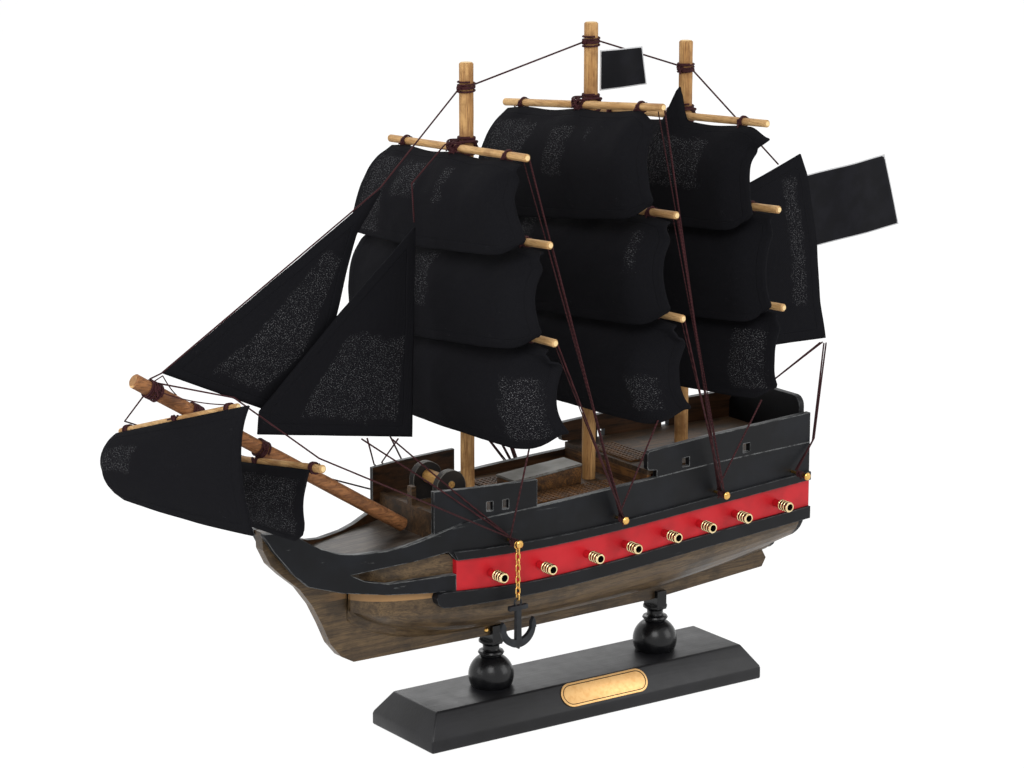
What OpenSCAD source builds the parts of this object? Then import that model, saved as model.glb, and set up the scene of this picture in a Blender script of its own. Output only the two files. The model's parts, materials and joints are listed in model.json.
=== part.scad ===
// Model sailing ship on a display base.
// +X runs from the bow to the stern, +Y to starboard and +Z up.
// The origin is the centre of the base board's underside. All sizes are in millimetres.

/* [Display base] */
// Length of the base board
base_length = 157.5; // [125:0.5:200]
// Width of the base board
base_width = 42.4; // [34:0.2:60]
// Height of the base board
base_height = 13.9; // [12:0.1:20]
// Width of the bevel around the top of the base board
base_bevel = 6; // [3:0.5:8]
// Radius of the ball on each post
ball_radius = 8.8; // [6:0.1:9]
// Distance from the origin to the fore post, towards the bow
fore_post_x = 37.8; // [30:0.1:45]
// Distance from the origin to the aft post, towards the stern
aft_post_x = 41.2; // [30:0.1:45]
// Length of the nameplate
plate_length = 41; // [30:0.5:50]
// Height of the nameplate
plate_height = 9.6; // [6:0.2:10]

/* [Hull] */
// Greatest half breadth of the hull planking
half_breadth = 30; // [25:0.1:36]
// Thickness of the side planking
plank = 2.5; // [1.5:0.1:3]
// Thickness of the keel board
keel_thickness = 5; // [3:0.1:6]
// Distance that the ledge and the wale stand out from the side
strip_proud = 1.2; // [0.6:0.1:2]
// Height of the ledge above the red band
ledge_height = 3.5; // [2:0.1:5]
// Height of the forecastle bulwark's top
forecastle_top = 101.7; // [96:0.1:104]
// Height of the forecastle deck
forecastle_deck_z = 90.5; // [86:0.1:92]
// Height of the waist deck
waist_deck_z = 89.3; // [86:0.1:91]
// Height of the quarterdeck
quarter_deck_z = 97; // [95.5:0.1:100]
// Thickness of each deck board
deck_thickness = 2; // [1:0.1:3]
// Height of the transom's arched top
taffrail_top = 114; // [110:0.1:118]

/* [Spars] */
// Diameter of each mast and of the bowsprit
mast_diameter = 5.5; // [4.5:0.1:6.6]
// Diameter of each yard
yard_diameter = 3; // [2.4:0.1:4]
// Diameter of the rigging thread
thread_diameter = 0.8; // [0.6:0.05:1]
// Half length of each lower yard
lower_yard_half = 60; // [50:0.5:66]
// Half length of each middle yard
middle_yard_half = 57; // [46:0.5:64]

/* [Sails] */
// Thickness of the sail cloth
cloth = 0.8; // [0.5:0.1:1.2]
// Depth of the belly of each square sail
belly = 13; // [8:0.5:14]
// Bare length of yard at each end of a sail
yard_bare = 3; // [2:0.5:6]

/* [Fittings] */
// Diameter of a cannon's rings
cannon_diameter = 4.2; // [3:0.1:5]
// Length of a cannon outside the hull
cannon_length = 9; // [6:0.1:11]
// Diameter of a rigging pin's shaft
pin_diameter = 1.2; // [0.9:0.05:1.3]
// Diameter of a rigging pin's head
pin_head = 3; // [2.4:0.1:4]
// Distance that each pin's head stands out beyond the hull's greatest half breadth
pin_proud = 5.2; // [4.2:0.1:8]
// Diameter of the anchor chain's wire
chain_wire = 0.55; // [0.4:0.05:0.6]
// Thickness of the anchor
anchor_thickness = 1.8; // [1:0.1:2]

/* [Hidden] */

$fn = 48;
// Smallest clearance between parts that only touch
gap = 0.05;
// Clearance between cloth or thread and what carries it
soft_gap = 0.3;
black = [0.12, 0.13, 0.15];
red = [0.75, 0.16, 0.17];
dark_wood = [0.35, 0.28, 0.2];
deck_wood = [0.45, 0.33, 0.2];
pine = [0.8, 0.66, 0.45];
brass = [0.85, 0.65, 0.3];
cloth_black = [0.1, 0.1, 0.11];
thread_red = [0.35, 0.13, 0.13];

mast_r = mast_diameter / 2;
yard_r = yard_diameter / 2;
thread_r = thread_diameter / 2;
pin_r = pin_diameter / 2;
pin_reach = half_breadth + pin_proud;
keel_half = keel_thickness / 2;

// Places along the hull
stem_x = -140;
block_fore_x = -104;
band_fore_x = -70;
forecastle_fore_x = -78;
forecastle_aft_x = -36.5;
quarter_fore_x = 16;
stern_x = 98;
transom_thickness = 2.5;
transom_x = stern_x - transom_thickness;
block_top_z = 77;
stem_head_z = 91.5;
station_step = 8;

// Smooth curve through the points p, at x
function span(x, p, i = 0) = (i >= len(p) - 2 || x <= p[i + 1][0]) ? i : span(x, p, i + 1);
function rise(p, i) = i == 0 ? (p[1][1] - p[0][1]) / (p[1][0] - p[0][0])
    : i == len(p) - 1 ? (p[i][1] - p[i - 1][1]) / (p[i][0] - p[i - 1][0])
    : (p[i + 1][1] - p[i - 1][1]) / (p[i + 1][0] - p[i - 1][0]);
function curve(x, p) = let (i = span(x, p), h = p[i + 1][0] - p[i][0], t = (x - p[i][0]) / h)
    (2 * t^3 - 3 * t^2 + 1) * p[i][1] + (t^3 - 2 * t^2 + t) * h * rise(p, i)
    + (3 * t^2 - 2 * t^3) * p[i + 1][1] + (t^3 - t^2) * h * rise(p, i + 1);

// Breadth of the hull as a share of its greatest, from stem to stern
breadth_shape = [[-126, 0.3], [-110, 0.45], [-95, 0.587], [-80, 0.735], [-66, 0.85], [-50, 0.933],
    [-32, 0.99], [-15, 1], [20, 0.975], [60, 0.92], [98, 0.85]];
breadth_points = concat([[stem_x, keel_half + plank]],
    [for (p = breadth_shape) [p[0], p[1] * half_breadth]]);
breadth_table = [for (x = [stem_x:station_step:stern_x + station_step]) [x, curve(x, breadth_points)]];
// Half breadth to the outside of the planking, straight between stations
function breadth(x) = lookup(x, breadth_table);
function stations(x0, x1) = concat([x0],
    [for (x = [stem_x:station_step:stern_x]) if (x > x0 + 0.01 && x < x1 - 0.01) x], [x1]);

// Heights that follow the hull's sheer
keel_line = [[-104, 52], [-95, 46.5], [-80, 41.5], [-62, 39.2], [-40, 38.8], [0, 39.3], [32, 40.4],
    [60, 42.8], [82, 45], [98, 47.5]];
floor_line = [[-104, 56], [-95, 50], [-80, 45], [-62, 42], [-40, 41.2], [0, 41.4], [32, 42.6],
    [60, 45.6], [82, 49.2], [98, 52.5]];
wale_bottom_line = [[-80, 57.2], [-42, 58], [0, 59.8], [40, 62.2], [98, 65]];
band_bottom_line = [[-80, 63.4], [-42, 63.1], [0, 64.9], [40, 67.4], [98, 69.9]];
band_top_line = [[-80, 74.9], [-42, 75.2], [0, 76.4], [40, 78.3], [98, 80.6]];
rail_line = [[-80, 84.6], [-68, 88.6], [-36, 91.4], [15, 94], [50, 95.4], [98, 96]];
quarter_top_line = [[15, 104.9], [44, 106.5], [98, 108]];
function band_top(x) = curve(x, band_top_line);
function band_bottom(x) = curve(x, band_bottom_line);

// Points of a line of heights, from x0 to x1
function along(line, x0, x1, lift = 0) = [for (x = stations(x0, x1)) [x, curve(x, line) + lift]];
function reversed(list) = [for (i = [len(list) - 1:-1:0]) list[i]];

// Reach of the cutting solids, past every piece of the hull upwards and sideways
cut_height = 130;
cut_side = 60;
// Solid with the plan between two offsets from the hull's side and the given side outline
module shell(x0, x1, inner, outer, outline) {
    xs = stations(x0, x1);
    intersection() {
        linear_extrude(height = cut_height)
            polygon(concat([for (x = xs) [x, -breadth(x) - outer]],
                reversed([for (x = xs) [x, -breadth(x) - inner]])));
        translate([0, 1, 0])
            rotate([90, 0, 0])
                linear_extrude(height = cut_side)
                    polygon(outline);
    }
}

// Flat piece across the hull, inside the planking, with the given side outline
module across(x0, x1, outline, inset = plank) {
    xs = stations(x0, x1);
    intersection() {
        linear_extrude(height = cut_height)
            polygon(concat([for (x = xs) [x, -breadth(x) + inset]],
                reversed([for (x = xs) [x, breadth(x) - inset]])));
        translate([0, cut_side, 0])
            rotate([90, 0, 0])
                linear_extrude(height = 2 * cut_side)
                    polygon(outline);
    }
}

// Same thing on the other side of the middle plane
module starboard() {
    mirror([0, 1, 0])
        children();
}

module both_sides() {
    children();
    starboard()
        children();
}

// Round bar from a to b
module bar(a, b, r) {
    d = b - a;
    translate(a)
        rotate([0, acos(d[2] / norm(d)), atan2(d[1], d[0])])
            cylinder(h = norm(d), r = r);
}

// Thread from point to point: a plain bar, or one tube where it bends
thread_sides = 8;
function aim(points, i) = let (a = points[max(i - 1, 0)], b = points[min(i + 1, len(points) - 1)])
    (b - a) / norm(b - a);
function thread_ring(points, i) = let (d = aim(points, i), u = cross(d, [0, 1, 0.01]), v = cross(d, u))
    [for (k = [0:thread_sides - 1]) let (a = 360 * k / thread_sides)
        points[i] + thread_r * (cos(a) * u / norm(u) + sin(a) * v / norm(v))];
module thread(points) {
    n = len(points);
    m = thread_sides;
    if (n == 2)
        bar(points[0], points[1], thread_r);
    else
        polyhedron(points = [for (i = [0:n - 1]) each thread_ring(points, i)],
            faces = concat(
                [for (i = [0:n - 2]) for (k = [0:m - 1]) each [
                    [i * m + k, (i + 1) * m + k, (i + 1) * m + (k + 1) % m],
                    [i * m + k, (i + 1) * m + (k + 1) % m, i * m + (k + 1) % m]]],
                [[for (k = [0:m - 1]) k]],
                [[for (k = [m - 1:-1:0]) (n - 1) * m + k]]));
}

// ---- Display base ----

foot_height = 5;
foot_round = 0.5;
// Outline of the base board: upright foot, then a flat chamfer up to the top face
module chamfered_outline(half) {
    side = [[half, 0], [half, foot_height - foot_round],
        [half - foot_round * 0.6, foot_height + foot_round], [half - base_bevel, base_height]];
    polygon(concat(side, reversed([for (p = side) [-p[0], p[1]]])));
}

module base_board() {
    l = base_length / 2;
    w = base_width / 2;
    color(black)
        intersection() {
            rotate([90, 0, 90])
                translate([0, 0, -l])
                    linear_extrude(height = base_length)
                        chamfered_outline(w);
            rotate([90, 0, 0])
                translate([0, 0, -w])
                    linear_extrude(height = base_width)
                        chamfered_outline(l);
        }
}

plate_thickness = 0.5;
plate_x = 3;
// The plate lies on the port chamfer, from the chamfer's foot edge at f = 0 to its top edge at f = 1
chamfer_foot = [base_width / 2 - foot_round * 0.6, foot_height + foot_round];
chamfer_top = [base_width / 2 - base_bevel, base_height];
chamfer_length = norm(chamfer_top - chamfer_foot);
chamfer_tilt = atan2(chamfer_foot[0] - chamfer_top[0], chamfer_top[1] - chamfer_foot[1]);
plate_reach = min(plate_height, chamfer_length - 0.4);
module nameplate() {
    r = plate_reach / 2;
    middle = (chamfer_foot + chamfer_top) / 2;
    color(brass)
        translate([plate_x, -middle[0], middle[1]])
            rotate([90 - chamfer_tilt, 0, 0])
                translate([0, 0, gap])
                    linear_extrude(height = plate_thickness)
                        union() {
                            square([plate_length - 2 * r, plate_reach], center = true);
                            translate([-plate_length / 2 + r, 0])
                                circle(r = r);
                            translate([plate_length / 2 - r, 0])
                                circle(r = r);
                        }
}

fork_top_z = 38.7;
fork_width = 9;
fork_depth = 4.4;
flange_z = 32.2;
// Height of the ball's centre above the base board, as a share of its radius
ball_lift = 0.48;
// Side of the block that trims the ball and the fork's slot
trim = 40;
// Turned post with a fork that holds the keel board
module post(x) {
    keel_z = keel_bottom(x);
    color(black)
        translate([x, 0, 0])
            difference() {
                union() {
                    intersection() {
                        translate([0, 0, base_height + ball_lift * ball_radius])
                            sphere(r = ball_radius);
                        translate([-trim / 2, -trim / 2, base_height])
                            cube(trim);
                    }
                    rotate_extrude()
                        polygon([[0, base_height + ball_radius], [3.4, base_height + ball_radius],
                            [3.6, 26.1], [4.7, 26.6], [5.1, 27.2], [4.7, 27.9], [3.6, 28.3], [3.2, 28.9],
                            [3.2, 30.2], [3.9, 30.9], [4.8, 31.5], [4.8, flange_z], [0, flange_z]]);
                    translate([-fork_depth / 2, -fork_width / 2, flange_z - 1])
                        cube([fork_depth, fork_width, fork_top_z - flange_z + 1]);
                }
                translate([-trim / 2, -keel_half - gap, keel_z - gap])
                    cube([trim, keel_thickness + 2 * gap, trim]);
            }
}
module post_fore() post(-fore_post_x);
module post_aft() post(aft_post_x);

// Nail head on the keel board, just ahead of the fore post's fork
nail_z = 37.2;
nail_head_r = 1.1;
nail_x = -fore_post_x - fork_depth / 2 - nail_head_r - 0.4;
module keel_nail() {
    color(brass)
        translate([nail_x, -keel_half, nail_z])
            rotate([90, 0, 0])
                intersection() {
                    translate([0, 0, -0.5])
                        sphere(r = nail_head_r + 0.2);
                    cylinder(h = 2, r = nail_head_r);
                }
}

// ---- Hull ----

keel_bottom_line = [[-101.3, 35.6], [-40, 34.9], [38, 35.6], [93.5, 39.8]];
function keel_bottom(x) = curve(x, keel_bottom_line);
stem_points = [[-139.5, stem_head_z], [-139.2, 85], [-136, 78.5], [-131, 73.5], [-124, 67.5], [-118.5, 60],
    [-114.5, 52], [-111, 44], [-106.5, 38.5], [-101.3, 35.6]];
keel_end_x = 95.5;

module keel_board() {
    color(dark_wood)
        rotate([90, 0, 0])
            translate([0, 0, -keel_half])
                linear_extrude(height = keel_thickness)
                    polygon(concat(stem_points,
                        [[-40, 34.9], [38, 35.6], [93.5, 39.8], [keel_end_x, 43.3]],
                        [[93.5, curve(93.5, keel_line)]],
                        reversed(along(keel_line, block_fore_x, 92)),
                        [[block_fore_x, block_top_z], [-127, block_top_z], [-130, stem_head_z - 0.5]]));
}

// Section of the hull block at x: flat top, upright side, round bilge and deadwood
bilge_steps = 7;
function bilge_top(x) = curve(x, wale_bottom_line) - 0.5;
function bow_round(x) = x < -88 ? sqrt(max(0, 1 - ((-88 - x) / 16.4)^2)) : 1;
function block_half(x) = keel_half + 0.4 + (breadth(x) - plank - keel_half - 0.4) * bow_round(x);
function half_section(x) = let (y = block_half(x), zt = bilge_top(x), zf = curve(x, floor_line),
    zk = curve(x, keel_line), y1 = min(y * 0.3, 9))
    concat([[y, block_top_z]],
        [for (i = [0:bilge_steps]) let (a = 78 * i / bilge_steps)
            [y1 + (y - y1) * cos(a) - (y - y1) * cos(78) * i / bilge_steps,
             zt - (zt - zf - 0.4) * sin(a) / sin(78)]],
        [[keel_half + (y1 - keel_half) * 0.45, zk + (zf - zk) * 0.3], [keel_half, zk]]);
function ring(x) = let (s = half_section(x))
    concat([for (p = s) [x, -p[0], p[1]]], reversed([for (p = s) [x, p[0], p[1]]]));

module hull_block() {
    xs = concat([block_fore_x, -102, -99], stations(-96, transom_x));
    rings = [for (x = xs) ring(x)];
    n = len(rings[0]);
    m = len(xs);
    points = [for (r = rings) each r];
    sides = [for (i = [0:m - 2]) for (j = [0:n - 1]) let (k = (j + 1) % n)
        [i * n + j, (i + 1) * n + j, (i + 1) * n + k, i * n + k]];
    triangles = [for (q = sides) each [[q[0], q[1], q[2]], [q[0], q[2], q[3]]]];
    color(dark_wood)
        polyhedron(points = points, faces = concat(triangles,
            [[for (j = [0:n - 1]) j]],
            [[for (j = [n - 1:-1:0]) (m - 1) * n + j]]));
}

// Side board: beak, cut away over the wood between its two prongs, and bulwark up to the rail
beak_bottom = [[stem_x, stem_head_z - 1], [-136.5, 84.5], [-130, 75.8], [-124.4, 70.2], [-112.2, 66.6],
    [-95.4, 64.2], [-80, 63.4], [band_fore_x, 63.4]];
beak_cutout = [[band_fore_x, 69.6], [-84, 69], [-95.3, 68.4], [-103.8, 70.3], [-109.1, 73.1],
    [-100.9, 74.1], [-86, 76], [-73, 78.4]];
beak_top = [[-80, 84.6], [-88, 82.2], [-95.2, 81], [-106.6, 80.6], [-112.8, 81.5], [-119.7, 84],
    [-124.4, 87], [-129.2, 90.3], [-133, 91.4], [stem_x, stem_head_z]];
module side_board_port() {
    color(black)
        shell(stem_x, stern_x, -plank, 0, concat(beak_bottom, beak_cutout,
            along(band_top_line, band_fore_x, stern_x),
            reversed(along(rail_line, -79, stern_x)), beak_top));
}
module side_board_starboard() starboard() side_board_port();

module gun_band_port() {
    color(red)
        shell(band_fore_x, stern_x, -plank, 0, concat(along(band_bottom_line, band_fore_x, stern_x),
            reversed(along(band_top_line, band_fore_x, stern_x))));
}
module gun_band_starboard() starboard() gun_band_port();

ledge_fore_x = -71.5;
module ledges() {
    color(black)
        both_sides()
            shell(ledge_fore_x, stern_x, 0, strip_proud,
                concat(along(band_top_line, ledge_fore_x + 1.5, stern_x, 0.2),
                    reversed(along(band_top_line, ledge_fore_x, stern_x, ledge_height))));
}

wale_fore_x = -78;
module wales() {
    color(black)
        both_sides()
            shell(wale_fore_x, stern_x, -plank, strip_proud,
                concat([[wale_fore_x, 61.2], [wale_fore_x + 0.6, 59], [wale_fore_x + 2.4, 57.4]],
                    along(wale_bottom_line, -73, stern_x),
                    reversed(along(band_bottom_line, band_fore_x, stern_x, -gap)),
                    [[-72, 63.3], [wale_fore_x + 2.5, 63.2], [wale_fore_x + 0.6, 62.6]]));
}

// Forecastle bulwark with two small ports, set in from the side board's face
panel_inset = 0.6;
forecastle_ports = [-56.3, -49.8];
forecastle_port_z = 92.1;
port_width = 2.6;
port_height = 3.6;
module forecastle_bulwark_port() {
    color(black)
        difference() {
            shell(forecastle_fore_x, forecastle_aft_x, -plank, -panel_inset,
                concat(along(rail_line, forecastle_fore_x, forecastle_aft_x),
                    [[forecastle_aft_x, forecastle_top], [forecastle_fore_x, forecastle_top]]));
            for (x = forecastle_ports)
                translate([x - port_width / 2, -cut_side, forecastle_port_z])
                    cube([port_width, cut_side, port_height]);
        }
}
module forecastle_bulwark_starboard() starboard() forecastle_bulwark_port();

// Quarterdeck bulwark, with a rounded lip over the end of the waist rail
quarter_ports = [33.3, 64.3];
quarter_port_size = 3.6;
quarter_port_lift = 3.2;
lip_x = 14.4;
lip_z = 97.4;
module quarter_bulwark_port() {
    color(black)
        difference() {
            shell(lip_x, stern_x, -plank, 0,
                concat(along(rail_line, 19, stern_x),
                    reversed(along(quarter_top_line, lip_x + 1, stern_x)),
                    [[lip_x, 104], [lip_x, lip_z + 1.2], [lip_x + 0.4, lip_z + 0.3],
                     [lip_x + 1.4, lip_z], [19, lip_z - 0.3]]));
            for (x = quarter_ports)
                translate([x, 0, curve(x, rail_line) + quarter_port_lift])
                    rotate([90, 0, 0])
                        linear_extrude(height = cut_side)
                            square(quarter_port_size, center = true);
        }
}
module quarter_bulwark_starboard() starboard() quarter_bulwark_port();

bow_deck_fore_x = -127;
module bow_deck() {
    color(deck_wood)
        across(bow_deck_fore_x, forecastle_fore_x + 3.5, [[bow_deck_fore_x, block_top_z],
            [forecastle_fore_x + 3.5, block_top_z], [forecastle_fore_x + 3.5, 81],
            [bow_deck_fore_x, 78.6]]);
}

function slab(x0, x1, z) = [[x0, z - deck_thickness], [x1, z - deck_thickness], [x1, z], [x0, z]];
front_wall_x = forecastle_fore_x + 3.5;
wall_thickness = 2;

module mast_hole(x) {
    translate([x, 0, block_top_z + 1])
        cylinder(h = cut_side, r = mast_r + gap);
}

fore_mast_x = -48.4;
main_mast_x = 8.1;
mizzen_mast_x = 53.2;

module forecastle_deck() {
    color(deck_wood)
        difference() {
            across(front_wall_x + wall_thickness, forecastle_aft_x,
                slab(front_wall_x + wall_thickness, forecastle_aft_x, forecastle_deck_z));
            mast_hole(fore_mast_x);
        }
}

module waist_deck() {
    color(deck_wood)
        difference() {
            across(forecastle_aft_x, quarter_fore_x,
                slab(forecastle_aft_x, quarter_fore_x, waist_deck_z));
            mast_hole(main_mast_x);
        }
}

module quarter_deck() {
    color(deck_wood)
        difference() {
            across(quarter_fore_x, transom_x, slab(quarter_fore_x, transom_x, quarter_deck_z));
            mast_hole(mizzen_mast_x);
        }
}

// Front wall of the forecastle, with a post in its middle
bitt_width = 3;
bitt_top = 98.5;
module forecastle_front() {
    x = front_wall_x;
    color(deck_wood)
        union() {
            across(x, x + wall_thickness, [[x, block_top_z], [x + wall_thickness, block_top_z],
                [x + wall_thickness, forecastle_deck_z + 1], [x, forecastle_deck_z + 1]]);
            translate([x, -bitt_width / 2, forecastle_deck_z])
                cube([wall_thickness, bitt_width, bitt_top - forecastle_deck_z]);
        }
}

module quarter_front() {
    x = quarter_fore_x;
    color(deck_wood)
        across(x, x + wall_thickness, [[x, block_top_z], [x + wall_thickness, block_top_z],
            [x + wall_thickness, quarter_deck_z - deck_thickness], [x, quarter_deck_z - deck_thickness]]);
}

// Stern board with the arched taffrail on top
taffrail_half = 21.5;
module transom() {
    side = breadth(transom_x) - plank - 0.4;
    arch = [for (a = [0:15:90]) [taffrail_half - 4 + 4 * cos(a), taffrail_top - 4 + 4 * sin(a)]];
    half = concat([[side, bilge_top(transom_x) + 8], [side, 104], [taffrail_half, 106]], arch);
    low = [for (p = half_section(transom_x)) if (p[1] < block_top_z) [p[0] - 0.3, p[1] + 0.3]];
    outline = concat(reversed(low), half);
    color(black)
        translate([transom_x, 0, 0])
            rotate([90, 0, 90])
                linear_extrude(height = transom_thickness)
                    polygon(concat(outline, reversed([for (p = outline) [-p[0], p[1]]])));
}

// ---- Deck fittings ----

hatch_fore_x = -31;
hatch_aft_x = 0.4;
hatch_half = 6;
module hatch_house() {
    color(deck_wood)
        rotate([90, 0, 0])
            translate([0, 0, -hatch_half])
                linear_extrude(height = 2 * hatch_half)
                    polygon([[hatch_fore_x, waist_deck_z], [hatch_aft_x, waist_deck_z],
                        [hatch_aft_x, 96.4], [hatch_fore_x, 94.2]]);
}

windlass_x = -62;
windlass_z = 98.3;
cheek_radius = 6.4;
cheek_thickness = 3;
cheek_inner = 6.5;
axle_r = 1.3;
module windlass_cheeks() {
    color(black)
        both_sides()
            translate([windlass_x, -cheek_inner, 0])
                rotate([90, 0, 0])
                    linear_extrude(height = cheek_thickness)
                        difference() {
                            union() {
                                translate([0, windlass_z])
                                    circle(r = cheek_radius);
                                translate([-cheek_radius, forecastle_deck_z])
                                    square([2 * cheek_radius, windlass_z - forecastle_deck_z]);
                            }
                            translate([0, windlass_z + 1])
                                circle(r = axle_r + gap);
                        }
}

barrel_r = 2.6;
module windlass_barrel() {
    color(pine)
        translate([windlass_x, 0, windlass_z + 1])
            rotate([90, 0, 0])
                union() {
                    cylinder(h = 2 * (cheek_inner - gap), r = barrel_r, center = true);
                    cylinder(h = 2 * (cheek_inner + cheek_thickness + 0.4), r = axle_r, center = true);
                }
}

// Cannon along its own axis: back end at 0, muzzle at cannon_length
cannon_bore_r = 1.1;
ring_r = cannon_diameter / 2;
ring_count = 4;
ring_pitch = 1.5;
tube_r = ring_r * 0.76;
module cannon() {
    rotate_extrude()
        polygon(concat([[0, 0], [tube_r, 0]],
            [for (i = [ring_count:-1:1]) let (z = cannon_length - i * ring_pitch) each [
                [tube_r, z + 0.15], [ring_r, z + 0.4], [ring_r, z + 1.1], [tube_r, z + 1.35]]],
            [[tube_r, cannon_length], [cannon_bore_r, cannon_length],
             [cannon_bore_r, cannon_length - 2.5], [0, cannon_length - 2.5]]));
}

cannon_x = [-56.5, -36, -14.5, 3.5, 23, 40.2, 58.5, 80];
// The muzzles' foot lies this far above the widest point beside it
cannon_lap = -0.05;
function cannon_z(x) = (band_top(x) + band_bottom(x)) / 2 - 0.4;
module cannons() {
    color(brass)
        both_sides()
            for (x = cannon_x)
                translate([x, cannon_lap - max(breadth(x - ring_r), breadth(x + ring_r)), cannon_z(x)])
                    rotate([90, 0, 0])
                        cannon();
}

pin_x = [-49.2, -0.4, 48.2, 88.5];
pin_lift = 1.7;
pin_head_thickness = 1;
function pin_z(x) = band_top(x) + ledge_height + pin_lift;
module rigging_pins() {
    color(brass)
        both_sides()
            for (x = pin_x)
                translate([x, -breadth(x) - 0.1, pin_z(x)])
                    rotate([90, 0, 0])
                        rotate_extrude()
                            polygon([[0, 0], [pin_r, 0], [pin_r, pin_reach - breadth(x)],
                                [pin_head / 2 * 0.8, pin_reach - breadth(x)],
                                [pin_head / 2, pin_reach - breadth(x) + 0.3],
                                [pin_head / 2, pin_reach - breadth(x) + 0.6],
                                [pin_head / 2 * 0.7, pin_reach - breadth(x) + pin_head_thickness],
                                [0, pin_reach - breadth(x) + pin_head_thickness]]);
}

// ---- Anchor and chain ----

anchor_x = pin_x[0];
chain_y = -pin_reach + 0.75;
wire_r = chain_wire / 2;
top_ring_r = 1.45;
chain_z = pin_z(anchor_x);
link_r = 0.85;
link_straight = 1.1;
link_pitch = link_straight + 2 * link_r - 2 * wire_r - gap;
link_count = 9;

// Round ring in the XZ plane
module round_ring(r) {
    rotate([90, 0, 0])
        rotate_extrude()
            translate([r, 0])
                circle(r = wire_r);
}

// Oval link, upright, in the XZ plane
module link() {
    for (s = [-1, 1]) {
        translate([s * link_r, 0, -link_straight / 2])
            cylinder(h = link_straight, r = wire_r);
        translate([0, 0, s * link_straight / 2])
            rotate([90, 0, 0])
                rotate([0, 0, s > 0 ? 0 : 180])
                    rotate_extrude(angle = 180)
                        translate([link_r, 0])
                            circle(r = wire_r);
    }
}

top_ring_z = chain_z - top_ring_r + wire_r + pin_r + gap;
first_link_z = top_ring_z - top_ring_r + wire_r * 2 + gap - link_straight / 2 - link_r;
last_link_z = first_link_z - (link_count - 1) * link_pitch;
// Centre of the wire at the chain's foot, where the anchor turns
chain_foot_z = last_link_z - link_straight / 2 - link_r;
module anchor_chain_port() {
    color(brass) {
        translate([anchor_x, chain_y, top_ring_z])
            round_ring(top_ring_r);
        for (i = [0:link_count - 1])
            translate([anchor_x, chain_y, first_link_z - i * link_pitch])
                rotate([0, 0, i % 2 == 0 ? 90 : 0])
                    link();
    }
}
module anchor_chain_starboard() starboard() anchor_chain_port();

// Anchor: eye, stock, shank and two arms, hung in the last link
eye_r = 1.5;
eye_wire = 0.35;
anchor_eye_z = chain_foot_z + wire_r + gap + eye_wire - eye_r;
shank_length = 14.4;
arm_r = 6.6;
module anchor_port() {
    y0 = anchor_thickness / 2;
    color(black)
        translate([anchor_x, chain_y, anchor_eye_z]) {
            rotate([90, 0, 0])
                rotate_extrude()
                    translate([eye_r, 0])
                        circle(r = eye_wire);
            translate([0, y0, 0])
                rotate([90, 0, 0])
                    linear_extrude(height = anchor_thickness)
                        anchor_outline();
        }
}
module anchor_outline() {
    top = -eye_r + 0.1;
    crown = top - shank_length;
    union() {
        polygon([[-0.9, top], [0.9, top], [1.2, crown], [0, crown - 2.2], [-1.2, crown]]);
        translate([-4, top - 1.4])
            square([8, 1.7]);
        difference() {
            translate([0, crown + arm_r - 0.6])
                circle(r = arm_r + 0.9);
            translate([0, crown + arm_r + 0.9])
                circle(r = arm_r - 0.5);
            translate([-10, crown + arm_r - 0.2])
                square([20, 20]);
        }
        for (s = [-1, 1])
            polygon([[s * (arm_r - 0.9), crown + arm_r - 1.5], [s * (arm_r + 1.2), crown + arm_r - 1.5],
                [s * (arm_r + 0.9), crown + arm_r + 1.2], [s * (arm_r + 0.2), crown + arm_r + 2.6],
                [s * (arm_r - 0.9), crown + arm_r + 0.6]]);
    }
}
module anchor_starboard() starboard() anchor_port();

// ---- Masts, yards and bowsprit ----

fore_mast_top = 255;
main_mast_top = 266;
mizzen_mast_top = 256;
module mast(x, top) {
    color(pine)
        translate([x, 0, block_top_z])
            cylinder(h = top - block_top_z, r = mast_r);
}
module fore_mast() mast(fore_mast_x, fore_mast_top);
module main_mast() mast(main_mast_x, main_mast_top);
module mizzen_mast() mast(mizzen_mast_x, mizzen_mast_top);

bowsprit_tip = [-188.5, 0, 154.1];
bowsprit_foot = [-77.3, 0, 84];
module bowsprit() {
    color(pine)
        bar(bowsprit_foot, bowsprit_tip, mast_r);
}

// A yard is [height at the mast, half length, tilt with the port end up, turn with the port end aft]
fore_yard_list = [[159.8, lower_yard_half, 1, 2], [192.5, middle_yard_half, 3.4, 2], [223.8, 45.5, 2.6, 0]];
main_yard_list = [[161.8, lower_yard_half, 1, 3], [198, middle_yard_half, 3, 2], [235.2, 51, 5.4, 0]];
mizzen_yard_list = [[159.5, lower_yard_half - 3, 1, 8.4], [195.5, middle_yard_half - 1, 2.6, 6],
    [227.5, 52, 3, 3]];
yard_offset = mast_r + yard_r + gap;

// Places what follows in a yard's own frame: origin at its middle, its length along Y
module at_yard(mast_x, yard) {
    translate([mast_x, 0, yard[0]])
        rotate([-yard[2], 0, yard[3]])
            translate([-yard_offset, 0, 0])
                children();
}
module yards(mast_x, list) {
    color(pine)
        for (yard = list)
            at_yard(mast_x, yard)
                rotate([90, 0, 0])
                    cylinder(h = 2 * yard[1], r = yard_r, center = true);
}
module fore_yards() yards(fore_mast_x, fore_yard_list);
module main_yards() yards(main_mast_x, main_yard_list);
module mizzen_yards() yards(mizzen_mast_x, mizzen_yard_list);

// The two yards under the bowsprit: [middle, half length, tilt with the port end up]
sprit_slope = atan2(bowsprit_tip[2] - bowsprit_foot[2], bowsprit_foot[0] - bowsprit_tip[0]);
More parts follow.
